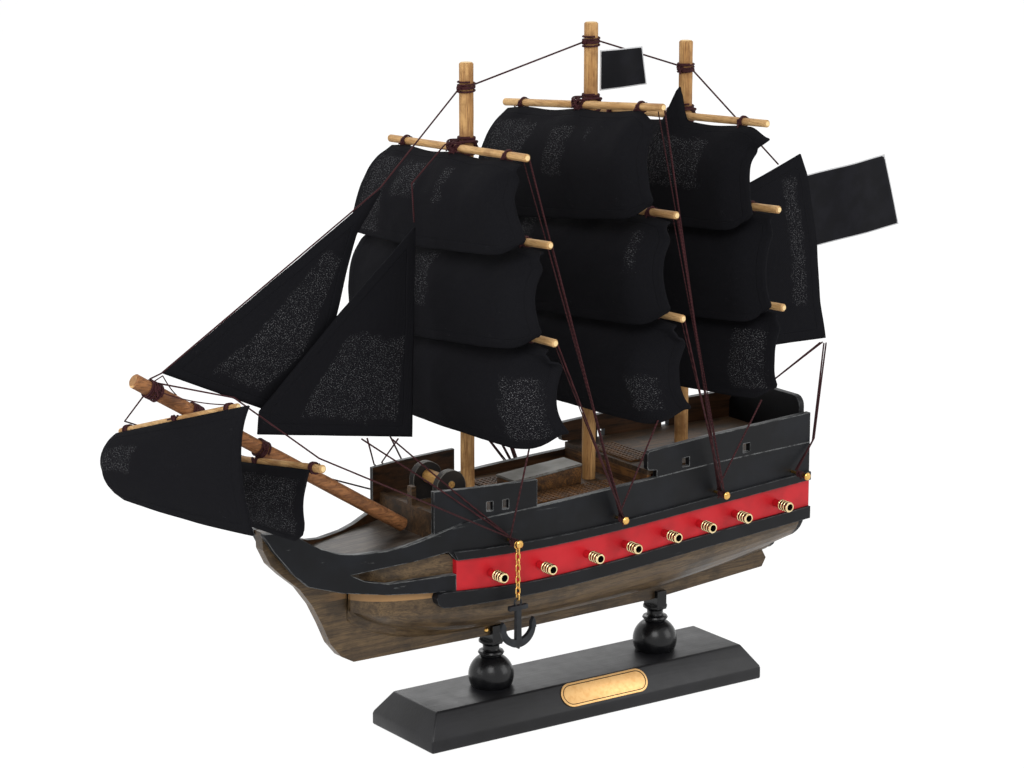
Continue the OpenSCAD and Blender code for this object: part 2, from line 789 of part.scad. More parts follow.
// Distance from the bowsprit's middle line to that of a sprit yard, which lies across it at its tilt
function sprit_drop(s) = (mast_r + yard_r + 4 * gap) / cos(s[2]);
function on_bowsprit(x) = bowsprit_foot[2] + (bowsprit_foot[0] - x) * tan(sprit_slope);
fore_sprit = [-168.5, 34, 20.5];
aft_sprit = [-136.5, 40, 9];
module at_sprit(s) {
    translate([s[0] - sprit_drop(s) * sin(sprit_slope), 0,
        on_bowsprit(s[0]) - sprit_drop(s) * cos(sprit_slope)])
        rotate([0, sprit_slope, 0])
            rotate([-s[2], 0, 0])
                rotate([0, -sprit_slope, 0])
                    children();
}
module sprit_yards() {
    color(pine)
        for (s = [fore_sprit, aft_sprit])
            at_sprit(s)
                rotate([90, 0, 0])
                    cylinder(h = 2 * s[1], r = yard_r, center = true);
}

// ---- Sails ----

// Side outline of a sail hung from a yard's front, in the yard's frame
sail_steps = 14;
sail_front = yard_r + soft_gap + cloth;
sail_back = 3.5;
// Height of a sail's head above its yard's axis
head_lift = 0.6;
function sail_x(t, back, depth) = -sail_front - back * t - depth * sin(180 * t);
module sail_sheet(half, drop, depth, back, low_half) {
    pts = [for (i = [0:sail_steps]) let (t = i / sail_steps)
        [sail_x(t, back, depth), head_lift - drop * t]];
    intersection() {
        translate([0, half, 0])
            rotate([90, 0, 0])
                linear_extrude(height = 2 * half)
                    polygon(concat(pts, reversed([for (p = pts) [p[0] + cloth, p[1]]])));
        rotate([90, 0, 90])
            translate([0, 0, -cut_side])
                linear_extrude(height = 2 * cut_side)
                    polygon([[-half, 2], [half, 2], [low_half, head_lift - drop - 1],
                        [-low_half, head_lift - drop - 1]]);
    }
}
// The more a yard is turned, the flatter its sail
function fullness(yard) = 1 - (yard[3] / 11)^2;
module square_sail(mast_x, list, i, bottom) {
    yard = list[i];
    half = yard[1] - yard_bare;
    full = fullness(yard);
    color(cloth_black)
        at_yard(mast_x, yard)
            sail_sheet(half, yard[0] - bottom, belly * full, sail_back * full, half - 2);
}
course_foot = 124;
foot_clear = 1.6;
function foot(list, i) = i == 0 ? course_foot : list[i - 1][0] + foot_clear + (list[i][2] > 3 ? 1 : 0);
module fore_course() square_sail(fore_mast_x, fore_yard_list, 0, foot(fore_yard_list, 0));
module fore_topsail() square_sail(fore_mast_x, fore_yard_list, 1, foot(fore_yard_list, 1));
module fore_topgallant_sail() square_sail(fore_mast_x, fore_yard_list, 2, foot(fore_yard_list, 2));
module main_course() square_sail(main_mast_x, main_yard_list, 0, foot(main_yard_list, 0));
module main_topsail() square_sail(main_mast_x, main_yard_list, 1, foot(main_yard_list, 1));
module main_topgallant_sail() square_sail(main_mast_x, main_yard_list, 2, foot(main_yard_list, 2));
module mizzen_course() square_sail(mizzen_mast_x, mizzen_yard_list, 0, foot(mizzen_yard_list, 0));
module mizzen_topsail() square_sail(mizzen_mast_x, mizzen_yard_list, 1, foot(mizzen_yard_list, 1));
module mizzen_topgallant_sail() square_sail(mizzen_mast_x, mizzen_yard_list, 2, foot(mizzen_yard_list, 2));

// Flat cloth in the XZ plane at the given distance to port
module flat_cloth(points, y = 0, thickness = cloth) {
    translate([0, thickness / 2 - y, 0])
        rotate([90, 0, 0])
            linear_extrude(height = thickness)
                polygon(points);
}

outer_jib_points = [[-85.5, 211.5], [-177, 154.4], [-139.1, 136.6], [-118, 149], [-104.6, 166],
    [-96.6, 190]];
inner_jib_points = [[-73.5, 198], [-139.5, 132], [-140.5, 128.3], [-75.5, 118.2]];
inner_jib_y = mast_r + cloth / 2 + 2 * soft_gap;
spanker_luff_x = mizzen_mast_x + mast_r + 2 * soft_gap;
spanker_points = [[spanker_luff_x, 131], [126.8, 129.9], [123.4, 146.1], [121.1, 168.5], [115.1, 198.3],
    [111.5, 207.1], [spanker_luff_x, 187.4]];
module outer_jib() {
    color(cloth_black)
        flat_cloth(outer_jib_points);
}
module inner_jib() {
    color(cloth_black)
        flat_cloth(inner_jib_points, inner_jib_y);
}
module spanker() {
    color(cloth_black)
        flat_cloth(spanker_points);
}

// Spritsail: hung from a sprit yard down to a level foot
module spritsail(s, foot_z, depth, port_half, starboard_half) {
    top = on_bowsprit(s[0]) - sprit_drop(s) * cos(sprit_slope);
    drop = top + port_half * sin(s[2]) - foot_z;
    pts = [for (i = [0:sail_steps]) let (t = i / sail_steps)
        [sail_x(t, 0, depth), head_lift - drop * t * 1.05]];
    color(cloth_black)
        intersection() {
            at_sprit(s)
                translate([0, starboard_half, 0])
                    rotate([90, 0, 0])
                        linear_extrude(height = port_half + starboard_half)
                            polygon(concat(pts, reversed([for (p = pts) [p[0] + cloth, p[1]]])));
            translate([s[0] - cut_side, -cut_side, foot_z])
                cube(2 * cut_side);
        }
}
module fore_spritsail() spritsail(fore_sprit, 104, 9, 43, 40);
module aft_spritsail() spritsail(aft_sprit, 93.5, 6, 36, 36);

flag_thickness = 0.4;
stern_flag_points = [[112.4, 197.6], [118.4, 168], [166, 172.7], [157.3, 202.4]];
main_flag_points = [[11.4, 255.3], [11.4, 239.9], [33.7, 240.6], [31.6, 255.4]];
module stern_flag() {
    color(black)
        flat_cloth(stern_flag_points, -(cloth + flag_thickness) / 2 - soft_gap, flag_thickness);
}
module main_flag() {
    color(black)
        flat_cloth(main_flag_points, 1.2, flag_thickness);
}

// ---- Rigging ----

thread_clear = thread_r + soft_gap;
thread_pitch = thread_diameter + 0.1;
lashing_inset = 2.5;
clew_inset = 5;
rail_clear = thread_r + gap;

// Point on the front or back of a mast
function mast_point(x, z, side) = [x + side * (mast_r + rail_clear), 0, z];
// Point on top of the bowsprit
function sprit_point(x, y) = [x, y, on_bowsprit(x) + mast_r / cos(sprit_slope) + rail_clear];
// Point just above a jib's edge, at the given distance to port
function beside(p, y) = [p[0] - 0.45, -y, p[1] + 0.7];
jib_line_z = 226.4;
module stays() {
    color(thread_red) {
        thread([mast_point(fore_mast_x, 245.5, -1), beside(outer_jib_points[0], 0),
            beside(outer_jib_points[1], 0), sprit_point(-182, 0)]);
        thread([mast_point(fore_mast_x, jib_line_z, -1), [fore_mast_x - 10.2, -1, jib_line_z - 0.8],
            [fore_mast_x - belly - 13, -3, jib_line_z - 13.4], beside(inner_jib_points[0], inner_jib_y)]);
        thread([mast_point(main_mast_x, 258.8, -1), mast_point(fore_mast_x, 246.5, 1)]);
        thread([mast_point(main_mast_x, 258.8, 1), mast_point(mizzen_mast_x, 246.5, -1)]);
        thread([mast_point(mizzen_mast_x, 244.5, 1), [100.2, 0, 203.6]]);
    }
}

// Side is -1 for port and 1 for starboard. Place k counts outwards along a rigging pin's shaft
function on_pin(i, k, side) = [pin_x[i], side * (breadth(pin_x[i]) + strip_proud + 0.2 + thread_pitch * k),
    pin_z(pin_x[i]) + pin_r + rail_clear];
// A point given in a yard's own frame
function in_yard(mast_x, yard, p) = let (x = p[0] - yard_offset,
    y = p[1] * cos(yard[2]) + p[2] * sin(yard[2]), z = p[2] * cos(yard[2]) - p[1] * sin(yard[2]))
    [mast_x + x * cos(yard[3]) - y * sin(yard[3]), x * sin(yard[3]) + y * cos(yard[3]), yard[0] + z];
function yard_end(mast_x, yard, side) = in_yard(mast_x, yard,
    [yard_r + thread_clear, side * (yard[1] - lashing_inset), 0]);
// Lower corner of the lowest sail on a mast
function clew(mast_x, yard, side) = in_yard(mast_x, yard,
    [sail_x(1, sail_back * fullness(yard), 0) + cloth / 2, side * (yard[1] - yard_bare - clew_inset),
     course_foot - yard[0] - thread_clear]);
// Height of a thread's middle above the top of a sprit yard's end
sprit_thread_clear = thread_r + 1.8;
function sprit_end(s, side) = let (l = side * (s[1] - lashing_inset))
    [s[0] - (sprit_drop(s) + l * sin(s[2])) * sin(sprit_slope), l * cos(s[2]),
    on_bowsprit(s[0]) - (sprit_drop(s) + l * sin(s[2])) * cos(sprit_slope) + yard_r + sprit_thread_clear];
// Point on top of the forecastle bulwark
function on_rail(x, side) = [x, side * (breadth(x) - panel_inset + 0.3), forecastle_top + rail_clear];
function below_jib(x, side) = let (a = inner_jib_points[2], b = inner_jib_points[3])
    [x, -inner_jib_y + side * soft_gap, a[1] + (b[1] - a[1]) * (x - a[0]) / (b[0] - a[0]) - thread_clear];
module side_lines(side) {
    fore = side * 1.5;
    thread([on_pin(0, 3, side), sprit_end(aft_sprit, side), sprit_end(fore_sprit, side),
        sprit_point(-179.5, side * 1.4)]);
    thread([on_pin(0, 2, side), on_rail(-75.5, side), below_jib(-96.4 + fore, side)]);
    thread([on_pin(0, 1, side), on_rail(-71.5, side), below_jib(-83 + fore, side)]);
    thread([on_pin(0, 0, side), clew(fore_mast_x, fore_yard_list[0], side)]);
    for (k = [0:2])
        thread([on_pin(1, 3 - k, side), yard_end(fore_mast_x, fore_yard_list[k], side)]);
    thread([on_pin(1, 0, side), clew(main_mast_x, main_yard_list[0], side)]);
    for (k = [0:2])
        thread([on_pin(2, 3 - k, side), yard_end(main_mast_x, main_yard_list[k], side)]);
    thread([on_pin(2, 0, side), clew(mizzen_mast_x, mizzen_yard_list[0], side)]);
    for (k = [0:1])
        thread([on_pin(3, 1 + k, side),
            [stern_x + thread_clear + thread_pitch * k, side * (breadth(stern_x) + thread_clear), 96.4 + k],
            [125 + 1.2 * k, side * thread_clear * 1.5, 129 - thread_clear]]);
}
module shrouds() {
    color(thread_red) {
        side_lines(-1);
        side_lines(1);
    }
}

base_board();
nameplate();
post_fore();
post_aft();
keel_nail();
keel_board();
hull_block();
side_board_port();
side_board_starboard();
gun_band_port();
gun_band_starboard();
ledges();
wales();
forecastle_bulwark_port();
forecastle_bulwark_starboard();
quarter_bulwark_port();
quarter_bulwark_starboard();
bow_deck();
forecastle_deck();
waist_deck();
quarter_deck();
forecastle_front();
quarter_front();
transom();
hatch_house();
windlass_cheeks();
windlass_barrel();
cannons();
rigging_pins();
anchor_chain_port();
anchor_chain_starboard();
anchor_port();
anchor_starboard();
fore_mast();
main_mast();
mizzen_mast();
bowsprit();
fore_yards();
main_yards();
mizzen_yards();
sprit_yards();
fore_topgallant_sail();
fore_topsail();
fore_course();
main_topgallant_sail();
main_topsail();
main_course();
mizzen_topgallant_sail();
mizzen_topsail();
mizzen_course();
outer_jib();
inner_jib();
spanker();
fore_spritsail();
aft_spritsail();
stern_flag();
main_flag();
stays();
shrouds();
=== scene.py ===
"""Looks of a model sailing ship on a display base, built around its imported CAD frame."""
import json
import math
import random

import bmesh
import bpy
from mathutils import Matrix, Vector, noise


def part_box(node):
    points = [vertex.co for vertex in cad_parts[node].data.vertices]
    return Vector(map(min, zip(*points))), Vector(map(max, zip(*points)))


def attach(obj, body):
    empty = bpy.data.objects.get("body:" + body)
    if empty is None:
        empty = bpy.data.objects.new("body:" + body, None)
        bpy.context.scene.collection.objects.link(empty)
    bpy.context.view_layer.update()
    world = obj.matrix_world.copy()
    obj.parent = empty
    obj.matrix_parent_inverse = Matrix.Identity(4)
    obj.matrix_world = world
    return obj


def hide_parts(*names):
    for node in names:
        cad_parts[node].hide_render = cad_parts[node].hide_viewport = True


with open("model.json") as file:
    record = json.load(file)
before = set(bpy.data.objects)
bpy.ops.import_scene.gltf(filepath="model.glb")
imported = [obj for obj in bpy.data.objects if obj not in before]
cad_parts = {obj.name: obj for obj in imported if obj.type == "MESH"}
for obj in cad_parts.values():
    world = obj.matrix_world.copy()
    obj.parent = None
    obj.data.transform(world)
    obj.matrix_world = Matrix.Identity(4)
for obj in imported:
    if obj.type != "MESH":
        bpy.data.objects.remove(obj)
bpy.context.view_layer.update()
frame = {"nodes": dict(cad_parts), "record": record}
MM = 0.001


# ---- Camera, lights and stage ----

CAMERA_PLACE = (-0.6844, -0.9483, 0.4013)
AZIMUTH, ELEVATION = math.radians(-34.69), math.radians(13.17)
LENS, SENSOR, NEAR = 110.08, 36, 0.05
scene = bpy.context.scene
camera = bpy.data.objects.new("camera", bpy.data.cameras.new("camera"))
scene.collection.objects.link(camera)
camera.location = CAMERA_PLACE
camera.rotation_euler = (math.pi / 2 - ELEVATION, 0, AZIMUTH)
camera.data.lens = LENS
camera.data.sensor_width = SENSOR
camera.data.clip_start = NEAR
scene.camera = camera
scene.view_settings.view_transform = "Standard"


BEVEL_SAMPLES = 6
looks = {}


class Maker:
    """Adds nodes to a new material or world. A socket given as a value is linked, anything else is set."""

    def __init__(self, name, world=False):
        self.name = name
        self.made = (bpy.data.worlds if world else bpy.data.materials).new(name)
        self.made.use_nodes = True
        self.tree = self.made.node_tree
        self.tree.nodes.clear()
        self.out = self.tree.nodes.new("ShaderNodeOutput" + ("World" if world else "Material"))

    def put(self, value, socket):
        if isinstance(value, bpy.types.NodeSocket):
            self.tree.links.new(value, socket)
        elif socket.type == "RGBA":
            socket.default_value = (*value[:3], 1)
        else:
            socket.default_value = value

    def node(self, kind, props=None, **inputs):
        made = self.tree.nodes.new("ShaderNode" + kind)
        for key, value in (props or {}).items():
            setattr(made, key, value)
        for key, value in inputs.items():
            self.put(value, made.inputs[int(key[1:]) if key[0] == "_" else key.replace("_", " ")])
        return made

    def math(self, operation, a, b=0.0):
        return self.node("Math", {"operation": operation}, _0=a, _1=b).outputs[0]

    def times(self, *values):
        result = values[0]
        for value in values[1:]:
            result = self.math("MULTIPLY", result, value)
        return result

    def smooth(self, value, low, high):
        return self.node("MapRange", {"interpolation_type": "SMOOTHSTEP"}, Value=value, _1=low,
                         _2=high).outputs[0]

    def mix(self, factor, a, b):
        return self.node("Mix", {"data_type": "RGBA"}, _0=factor, _6=a, _7=b).outputs[2]

    def place(self):
        return self.node("TexCoord").outputs["Object"]

    def split(self, vector):
        return self.node("SeparateXYZ", Vector=vector).outputs

    def facing(self, axis):
        """How squarely a face looks along an axis, either way."""
        return self.math("ABSOLUTE", self.split(self.normal())[axis])

    def noise(self, vector, scale, detail=3.0, rough=0.55, stretch=None, distortion=0.0):
        if stretch:
            vector = self.node("Mapping", Vector=vector, Scale=stretch).outputs[0]
        return self.node("TexNoise", Vector=vector, Scale=scale, Detail=detail, Roughness=rough,
                         Distortion=distortion).outputs["Fac"]

    def bump(self, height, strength, distance, soft=0.0):
        extra = {"Normal": self.rounded(soft)} if soft else {}
        return self.node("Bump", Height=height, Strength=strength, Distance=distance, **extra).outputs[0]

    def edges(self, radius):
        """1 on an edge sharper than the radius and 0 on flat faces."""
        dot = self.node("VectorMath", {"operation": "DOT_PRODUCT"}, _0=self.rounded(radius), _1=self.normal())
        return self.smooth(self.math("SUBTRACT", 1.0, dot.outputs["Value"]), 0.01, 0.12)

    def normal(self):
        return self.node("NewGeometry").outputs["Normal"]

    def rounded(self, radius):
        """The normal of the same faces with their edges rounded."""
        return self.node("Bevel", {"samples": BEVEL_SAMPLES}, Radius=radius).outputs[0]

    def seen(self):
        """1 where the camera looks, straight on or in a reflection, and 0 for scattered light."""
        ray = self.node("LightPath").outputs
        direct = self.math("MAXIMUM", ray["Is Camera Ray"], ray["Is Glossy Ray"])
        return self.math("MAXIMUM", direct, ray["Is Transmission Ray"])

    def show(self, surface):
        """Makes a shader's output the surface."""
        self.tree.links.new(surface, self.out.inputs[0])
        return self.made

    def shader(self, **inputs):
        """Finishes a material and keeps it under its name."""
        looks[self.name] = self.show(self.node("BsdfPrincipled", **inputs).outputs[0])


def rgb(red, green, blue):
    """The linear colour of an 8-bit one."""
    return tuple((c / 255 / 12.92) if c < 10 else ((c / 255 + 0.055) / 1.055) ** 2.4
                 for c in (red, green, blue))


ALONG = ((0.06, 1, 1), (1, 0.06, 1), (1, 1, 0.06))


def paint(name, base, light, worn, wear=0.7, gloss=0.4, inside=None, top=0.0, shine=0.2):
    """Brushed paint over wood, rubbed through along its edges. By the share top its upward faces are lighter,
    partly rubbed paint and partly a painted highlight. inside is the stain of faces that look inboard."""
    m = Maker(name)
    place = m.place()
    fibre = m.noise(place, 900, 3, 0.6, ALONG[0])
    colour = m.mix(m.smooth(m.noise(place, 60), 0.4, 0.7), base, light)
    rubbed = m.times(m.edges(0.0006), m.smooth(m.noise(place, 230, 4, 0.65), 0.34, 0.6))
    scuffs = m.times(m.smooth(m.noise(place, 340, 5, 0.7, ALONG[0]), 0.66, 0.74), 0.3)
    mask = m.math("MAXIMUM", rubbed, scuffs)
    # Upward faces lighter by the share top: partly rubbed paint, partly a painted highlight of light falling
    # on the tops.
    if top:
        lit_and_worn_tops = m.smooth(m.split(m.normal())["Z"], 0.8, 0.95)
        streaks = m.smooth(m.noise(place, 420, 5, 0.7, ALONG[0]), 0.4, 0.62)
        mask = m.math("MAXIMUM", mask, m.times(lit_and_worn_tops, streaks, top))
    colour = m.mix(m.times(mask, wear), colour, worn)
    rough = m.math("ADD", m.times(m.noise(place, 150, 2), 0.2), gloss)
    if inside:
        inboard = m.times(m.math("SIGN", m.split(place)["Y"]), m.split(m.normal())["Y"], -1.0)
        stain = m.mix(m.smooth(m.noise(place, 420, 4, 0.7, (0.1, 1, 1)), 0.35, 0.7), inside[0], inside[1])
        colour = m.mix(m.smooth(inboard, 0.5, 0.7), colour, stain)
    m.shader(Base_Color=colour, Roughness=rough, Normal=m.bump(fibre, 0.3, 0.0002, 0.0003),
             Specular_IOR_Level=shine)


def wood(name, dark, mid, light, axis, scale=1.0, gloss=0.55, contrast=0.8, end=None, tan=None):
    """Stained or bare wood with its grain along one axis. end is the colour of faces cut across the grain,
    and tan a bare strip: its colour, lowest and highest z, and foremost and aftmost x."""
    m = Maker(name)
    place = m.place()
    fibre = m.noise(place, 1900 * scale, 4, 0.7, ALONG[axis])
    band = m.noise(place, 420 * scale, 4, 0.65, ALONG[axis], 0.8)
    cloud = m.noise(place, 70, 4, 0.65)
    pores = m.noise(place, 900 * scale, 5, 0.8, tuple(g * 2 if g < 1 else 1 for g in ALONG[axis]))
    colour = m.mix(m.smooth(band, 0.36, 0.62), mid, light)
    colour = m.mix(m.times(m.smooth(fibre, 0.46, 0.66), contrast), colour, dark)
    colour = m.mix(m.times(m.smooth(cloud, 0.45, 0.68), contrast), colour, dark)
    colour = m.mix(m.times(m.smooth(pores, 0.6, 0.7), contrast), colour, tuple(c * 0.5 for c in dark))
    colour = m.mix(m.times(m.edges(0.0004), 0.4), colour, light)
    if tan:
        shade, low, high, fore, aft = tan
        along, up = m.split(place)["X"], m.split(place)["Z"]
        strip = m.times(m.smooth(up, low, low + 0.0003), m.smooth(up, high, high - 0.0003),
                        m.smooth(along, fore, fore + 0.02), m.smooth(along, aft, aft - 0.004), 0.85)
        colour = m.mix(strip, colour, shade)
    if end:
        colour = m.mix(m.smooth(m.facing(axis), 0.8, 0.95), colour, end)
    m.shader(Base_Color=colour, Roughness=m.math("ADD", m.times(band, 0.15), gloss),
             Normal=m.bump(fibre, 0.4, 0.0002, 0.0003), Specular_IOR_Level=0.3)


def metal(name, base, dull, rough=0.2):
    """Cast metal, dull in patches."""
    m = Maker(name)
    place = m.place()
    colour = m.mix(m.smooth(m.noise(place, 500, 4, 0.6), 0.4, 0.75), base, dull)
    m.shader(Base_Color=colour, Metallic=1.0,
             Roughness=m.math("ADD", m.times(m.noise(place, 900, 2), 0.2), rough),
             Normal=m.bump(m.noise(place, 1400), 0.12, 0.0001, 0.00015))


THREAD_PITCH = 0.00066


def cloth(name, base, fibre, painted_glint):
    """Plain-weave cotton. Its UV map is the flat cloth in metres, so the weave follows the cloth."""
    m = Maker(name)
    flat = m.node("UVMap", {"uv_map": "cloth"}).outputs[0]
    rim = m.split(m.node("UVMap", {"uv_map": "rim"}).outputs[0])
    pitch = 2 * math.pi / THREAD_PITCH
    warp = m.math("SINE", m.times(m.split(flat)["X"], pitch))
    weft = m.math("SINE", m.times(m.split(flat)["Y"], pitch))
    weave = m.math("MULTIPLY_ADD", m.times(warp, weft), 0.5)
    weave.node.inputs[2].default_value = 0.5
    slub = m.noise(flat, 1300, 3, 0.7, (1, 0.4, 1))
    colour = m.mix(m.times(slub, weave, 0.8), base, fibre)
    # Light grey specks, in the glint windows that the rim map carries in its second value, are a painted
    # highlight: light caught in the open weave, painted into the colour.
    spots = m.smooth(m.noise(flat, 2300, 2, 0.6, (0.7, 1.3, 1)), 0.565, 0.65)
    cloud = m.math("ADD", m.times(m.math("SUBTRACT", m.noise(flat, 170, 5, 0.8), 0.5), 3.4), rim["Y"])
    glint_patches = m.smooth(cloud, 0.35, 1.15)
    colour = m.mix(m.times(glint_patches, spots, m.smooth(weave, 0.2, 0.6), 0.8), colour, painted_glint)
    stitch = m.times(m.smooth(rim["X"], HEM_EDGE - 0.00025, HEM_EDGE),
                     m.smooth(rim["X"], HEM_EDGE + 0.00035, HEM_EDGE + 0.0001))
    height = m.math("SUBTRACT", m.math("ADD", weave, m.times(slub, 0.6)), m.times(stitch, 2.0))
    m.shader(Base_Color=colour, Roughness=0.95, Normal=m.bump(height, 0.6, 0.0002), Specular_IOR_Level=0.04)


def thread_look(name, dark, light):
    """Thread with its plies laid slantwise."""
    m = Maker(name)
    place = m.place()
    ply = m.node("TexWave", {"bands_direction": "DIAGONAL"}, Vector=place, Scale=900, Distortion=1.5,
                 Detail=1).outputs["Fac"]
    colour = m.mix(m.times(ply, m.noise(place, 300)), dark, light)
    m.shader(Base_Color=colour, Roughness=0.8, Normal=m.bump(ply, 0.5, 0.0002), Specular_IOR_Level=0.2)


def even(name, base, other, rough, **extra):
    """One quiet colour with fine mottling."""
    m = Maker(name)
    place = m.place()
    spots = m.noise(place, 400, 4, 0.6)
    m.shader(Base_Color=m.mix(m.smooth(spots, 0.4, 0.65), base, other),
             Roughness=m.math("ADD", m.times(spots, 0.15), rough),
             Normal=m.bump(spots, 0.15, 0.0001, 0.0002), **extra)


def paper(name, face, other, border):
    """Glossy printed paper with an unprinted margin along its cut edges."""
    m = Maker(name)
    rim = m.split(m.node("UVMap", {"uv_map": "rim"}).outputs[0])
    colour = m.mix(m.smooth(m.noise(m.place(), 120), 0.4, 0.65), face, other)
    colour = m.mix(m.smooth(rim["X"], 0.0005, 0.0003), colour, border)
    m.shader(Base_Color=colour, Roughness=0.5, Specular_IOR_Level=0.08)


HEM_EDGE = 0.004
STAIN = (rgb(70, 45, 26), rgb(26, 19, 14))
paint("hull_paint", rgb(9, 10, 13), rgb(17, 19, 24), rgb(136, 138, 138), 0.8, 0.4, STAIN, 1.0)
paint("black_trim", rgb(8, 9, 12), rgb(15, 16, 20), rgb(104, 106, 108), 0.6, top=0.4)
paint("board_paint", rgb(16, 16, 18), rgb(24, 24, 27), rgb(58, 58, 62), 0.4, 0.3, shine=0.3)
paint("post_paint", rgb(12, 12, 14), rgb(18, 18, 20), rgb(60, 60, 62), 0.3, 0.16, shine=0.3)
paint("cheek_paint", rgb(22, 20, 20), rgb(44, 38, 32), rgb(128, 124, 116), 0.9, 0.45, top=0.6)
paint("red_paint", rgb(196, 22, 34), rgb(172, 14, 26), rgb(112, 18, 24), 0.45, 0.35, shine=0.35)
wood("hull_wood", rgb(38, 29, 20), rgb(76, 60, 42), rgb(104, 84, 58), 0, 1.3, 0.3, 0.62,
     tan=(rgb(168, 128, 82), 0.0606, 0.0640, -0.118, -0.066))
wood("deck_wood", rgb(26, 20, 14), rgb(58, 42, 27), rgb(88, 64, 40), 0)
wood("bow_wood", rgb(24, 19, 15), rgb(50, 39, 30), rgb(98, 88, 78), 0, 0.8, 0.4, 0.9)
wood("front_wood", rgb(36, 25, 16), rgb(78, 52, 29), rgb(122, 82, 42), 1)
wood("mast_wood", rgb(120, 80, 44), rgb(176, 130, 78), rgb(204, 160, 104), 2, 1.0, 0.6, 0.75,
     rgb(226, 190, 132))
wood("yard_wood", rgb(132, 90, 50), rgb(190, 146, 92), rgb(216, 176, 122), 1, 1.0, 0.6, 0.6,
     rgb(236, 206, 150))
wood("sprit_wood", rgb(72, 44, 27), rgb(124, 80, 48), rgb(160, 108, 66), 0, 1.2, 0.55, 0.7,
     rgb(226, 184, 126))
wood("barrel_wood", rgb(96, 66, 30), rgb(150, 110, 56), rgb(182, 140, 78), 1)
metal("brass", rgb(226, 182, 104), rgb(200, 150, 80))
metal("gilt", rgb(244, 222, 172), rgb(214, 178, 118), 0.12)
metal("plate", rgb(206, 166, 112), rgb(196, 152, 98), 0.3)
# The last colour is the painted highlight of the glint specks on the sails.
cloth("black_cloth", rgb(21, 21, 24), rgb(34, 34, 37), rgb(134, 134, 136))
thread_look("thread", rgb(44, 20, 23), rgb(88, 42, 46))
even("anchor_black", rgb(20, 22, 26), rgb(30, 33, 38), 0.4, Specular_IOR_Level=0.3)
even("bore", rgb(8, 8, 8), rgb(16, 15, 14), 0.5, Specular_IOR_Level=0.1)
paper("flag_paper", rgb(13, 13, 17), rgb(19, 19, 24), rgb(206, 206, 208))
paint("worn_top", rgb(112, 110, 104), rgb(150, 149, 145), rgb(62, 50, 38), 0.8, 0.55)


def dress(node, look):
    """Gives a CAD node's object one look."""
    shown = frame["nodes"][node]
    shown.data.materials.clear()
    shown.data.materials.append(looks[look])


SIDES = ("port", "starboard")
for look, nodes in {
    "hull_paint": [f"{part}_{side}" for part in ("side_board", "forecastle_bulwark", "quarter_bulwark")
                   for side in SIDES],
    "black_trim": ["ledges", "wales", "transom"],
    "post_paint": ["post_fore", "post_aft"],
    "cheek_paint": ["windlass_cheeks"],
    "red_paint": ["gun_band_port", "gun_band_starboard"],
    "hull_wood": ["hull_block", "keel_board"],
    "deck_wood": ["forecastle_deck", "waist_deck", "quarter_deck", "forecastle_front"],
    "bow_wood": ["bow_deck"],
    "front_wood": ["quarter_front"],
    "barrel_wood": ["windlass_barrel"],
    "brass": ["keel_nail", "rigging_pins", "anchor_chain_port", "anchor_chain_starboard"],
}.items():
    for node in nodes:
        dress(node, look)


# ---- Floor, backdrop and lights ----

FLOOR_SIZE = 14
FLOOR_SHADE = (0.92, 0.92, 0.92)
FLOOR_GLOW, GLOW_SHARE = 1.1, 0.84
WORLD_LIGHT, WORLD_SEEN = 0.5, 1.0
WHITE = (1, 1, 1)


def stage():
    """A white floor that keeps the object's shadow, under a white world."""
    bpy.ops.mesh.primitive_plane_add(size=FLOOR_SIZE)
    floor = bpy.context.object
    floor.name = "floor"
    m = Maker("floor")
    diffuse = m.node("BsdfDiffuse", Color=FLOOR_SHADE).outputs[0]
    glow = m.node("Emission", Color=WHITE, Strength=FLOOR_GLOW).outputs[0]
    both = m.node("MixShader", Fac=m.times(m.seen(), GLOW_SHARE), _1=diffuse, _2=glow)
    floor.data.materials.append(m.show(both.outputs[0]))
    w = Maker("world", world=True)
    low = w.node("Background", Color=WHITE, Strength=WORLD_LIGHT).outputs[0]
    high = w.node("Background", Color=WHITE, Strength=WORLD_SEEN).outputs[0]
    scene.world = w.show(w.node("MixShader", Fac=w.seen(), _1=low, _2=high).outputs[0])


LAMP_AIM = Vector((0, 0, 0.12))


def lamp(name, place, size, power):
    light = bpy.data.lights.new(name, "AREA")
    light.shape = "RECTANGLE"
    light.size, light.size_y, light.energy = size[0], size[1], power
    holder = bpy.data.objects.new(name, light)
    scene.collection.objects.link(holder)
    holder.location = place
    holder.rotation_euler = (LAMP_AIM - Vector(place)).to_track_quat("-Z", "Y").to_euler()


stage()
lamp("key", (-0.9, -1.3, 1.3), (0.9, 0.9), 16)
lamp("fill", (1.2, -1.2, 0.7), (1.0, 1.0), 8)
lamp("back", (0.4, 1.3, 1.1), (1.0, 0.8), 8)
lamp("bow", (-1.5, 0.2, 0.7), (0.8, 0.8), 6)


# ---- Mesh helpers ----

WELD = 1e-6


def copy_of(node):
    """A CAD node's mesh to edit, with its doubled points joined."""
    work = bmesh.new()
    work.from_mesh(frame["nodes"][node].data)
    bmesh.ops.remove_doubles(work, verts=work.verts, dist=WELD)
    return work


def stand_in(name, work, look, node):
    """The edited copy of a CAD node as a smooth piece that stands for it and rides its body."""
    for face in work.faces:
        face.smooth = True
    mesh = frame["nodes"][node].data.copy()
    work.to_mesh(mesh)
    work.free()
    mesh.materials.clear()
    mesh.materials.append(looks[look])
    piece = bpy.data.objects.new(name, mesh)
    scene.collection.objects.link(piece)
    bodies = frame["record"]["behaviour"]["bodies"]
    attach(piece, next(body for body, nodes in bodies.items() if node in nodes))
    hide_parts(node)
    return piece


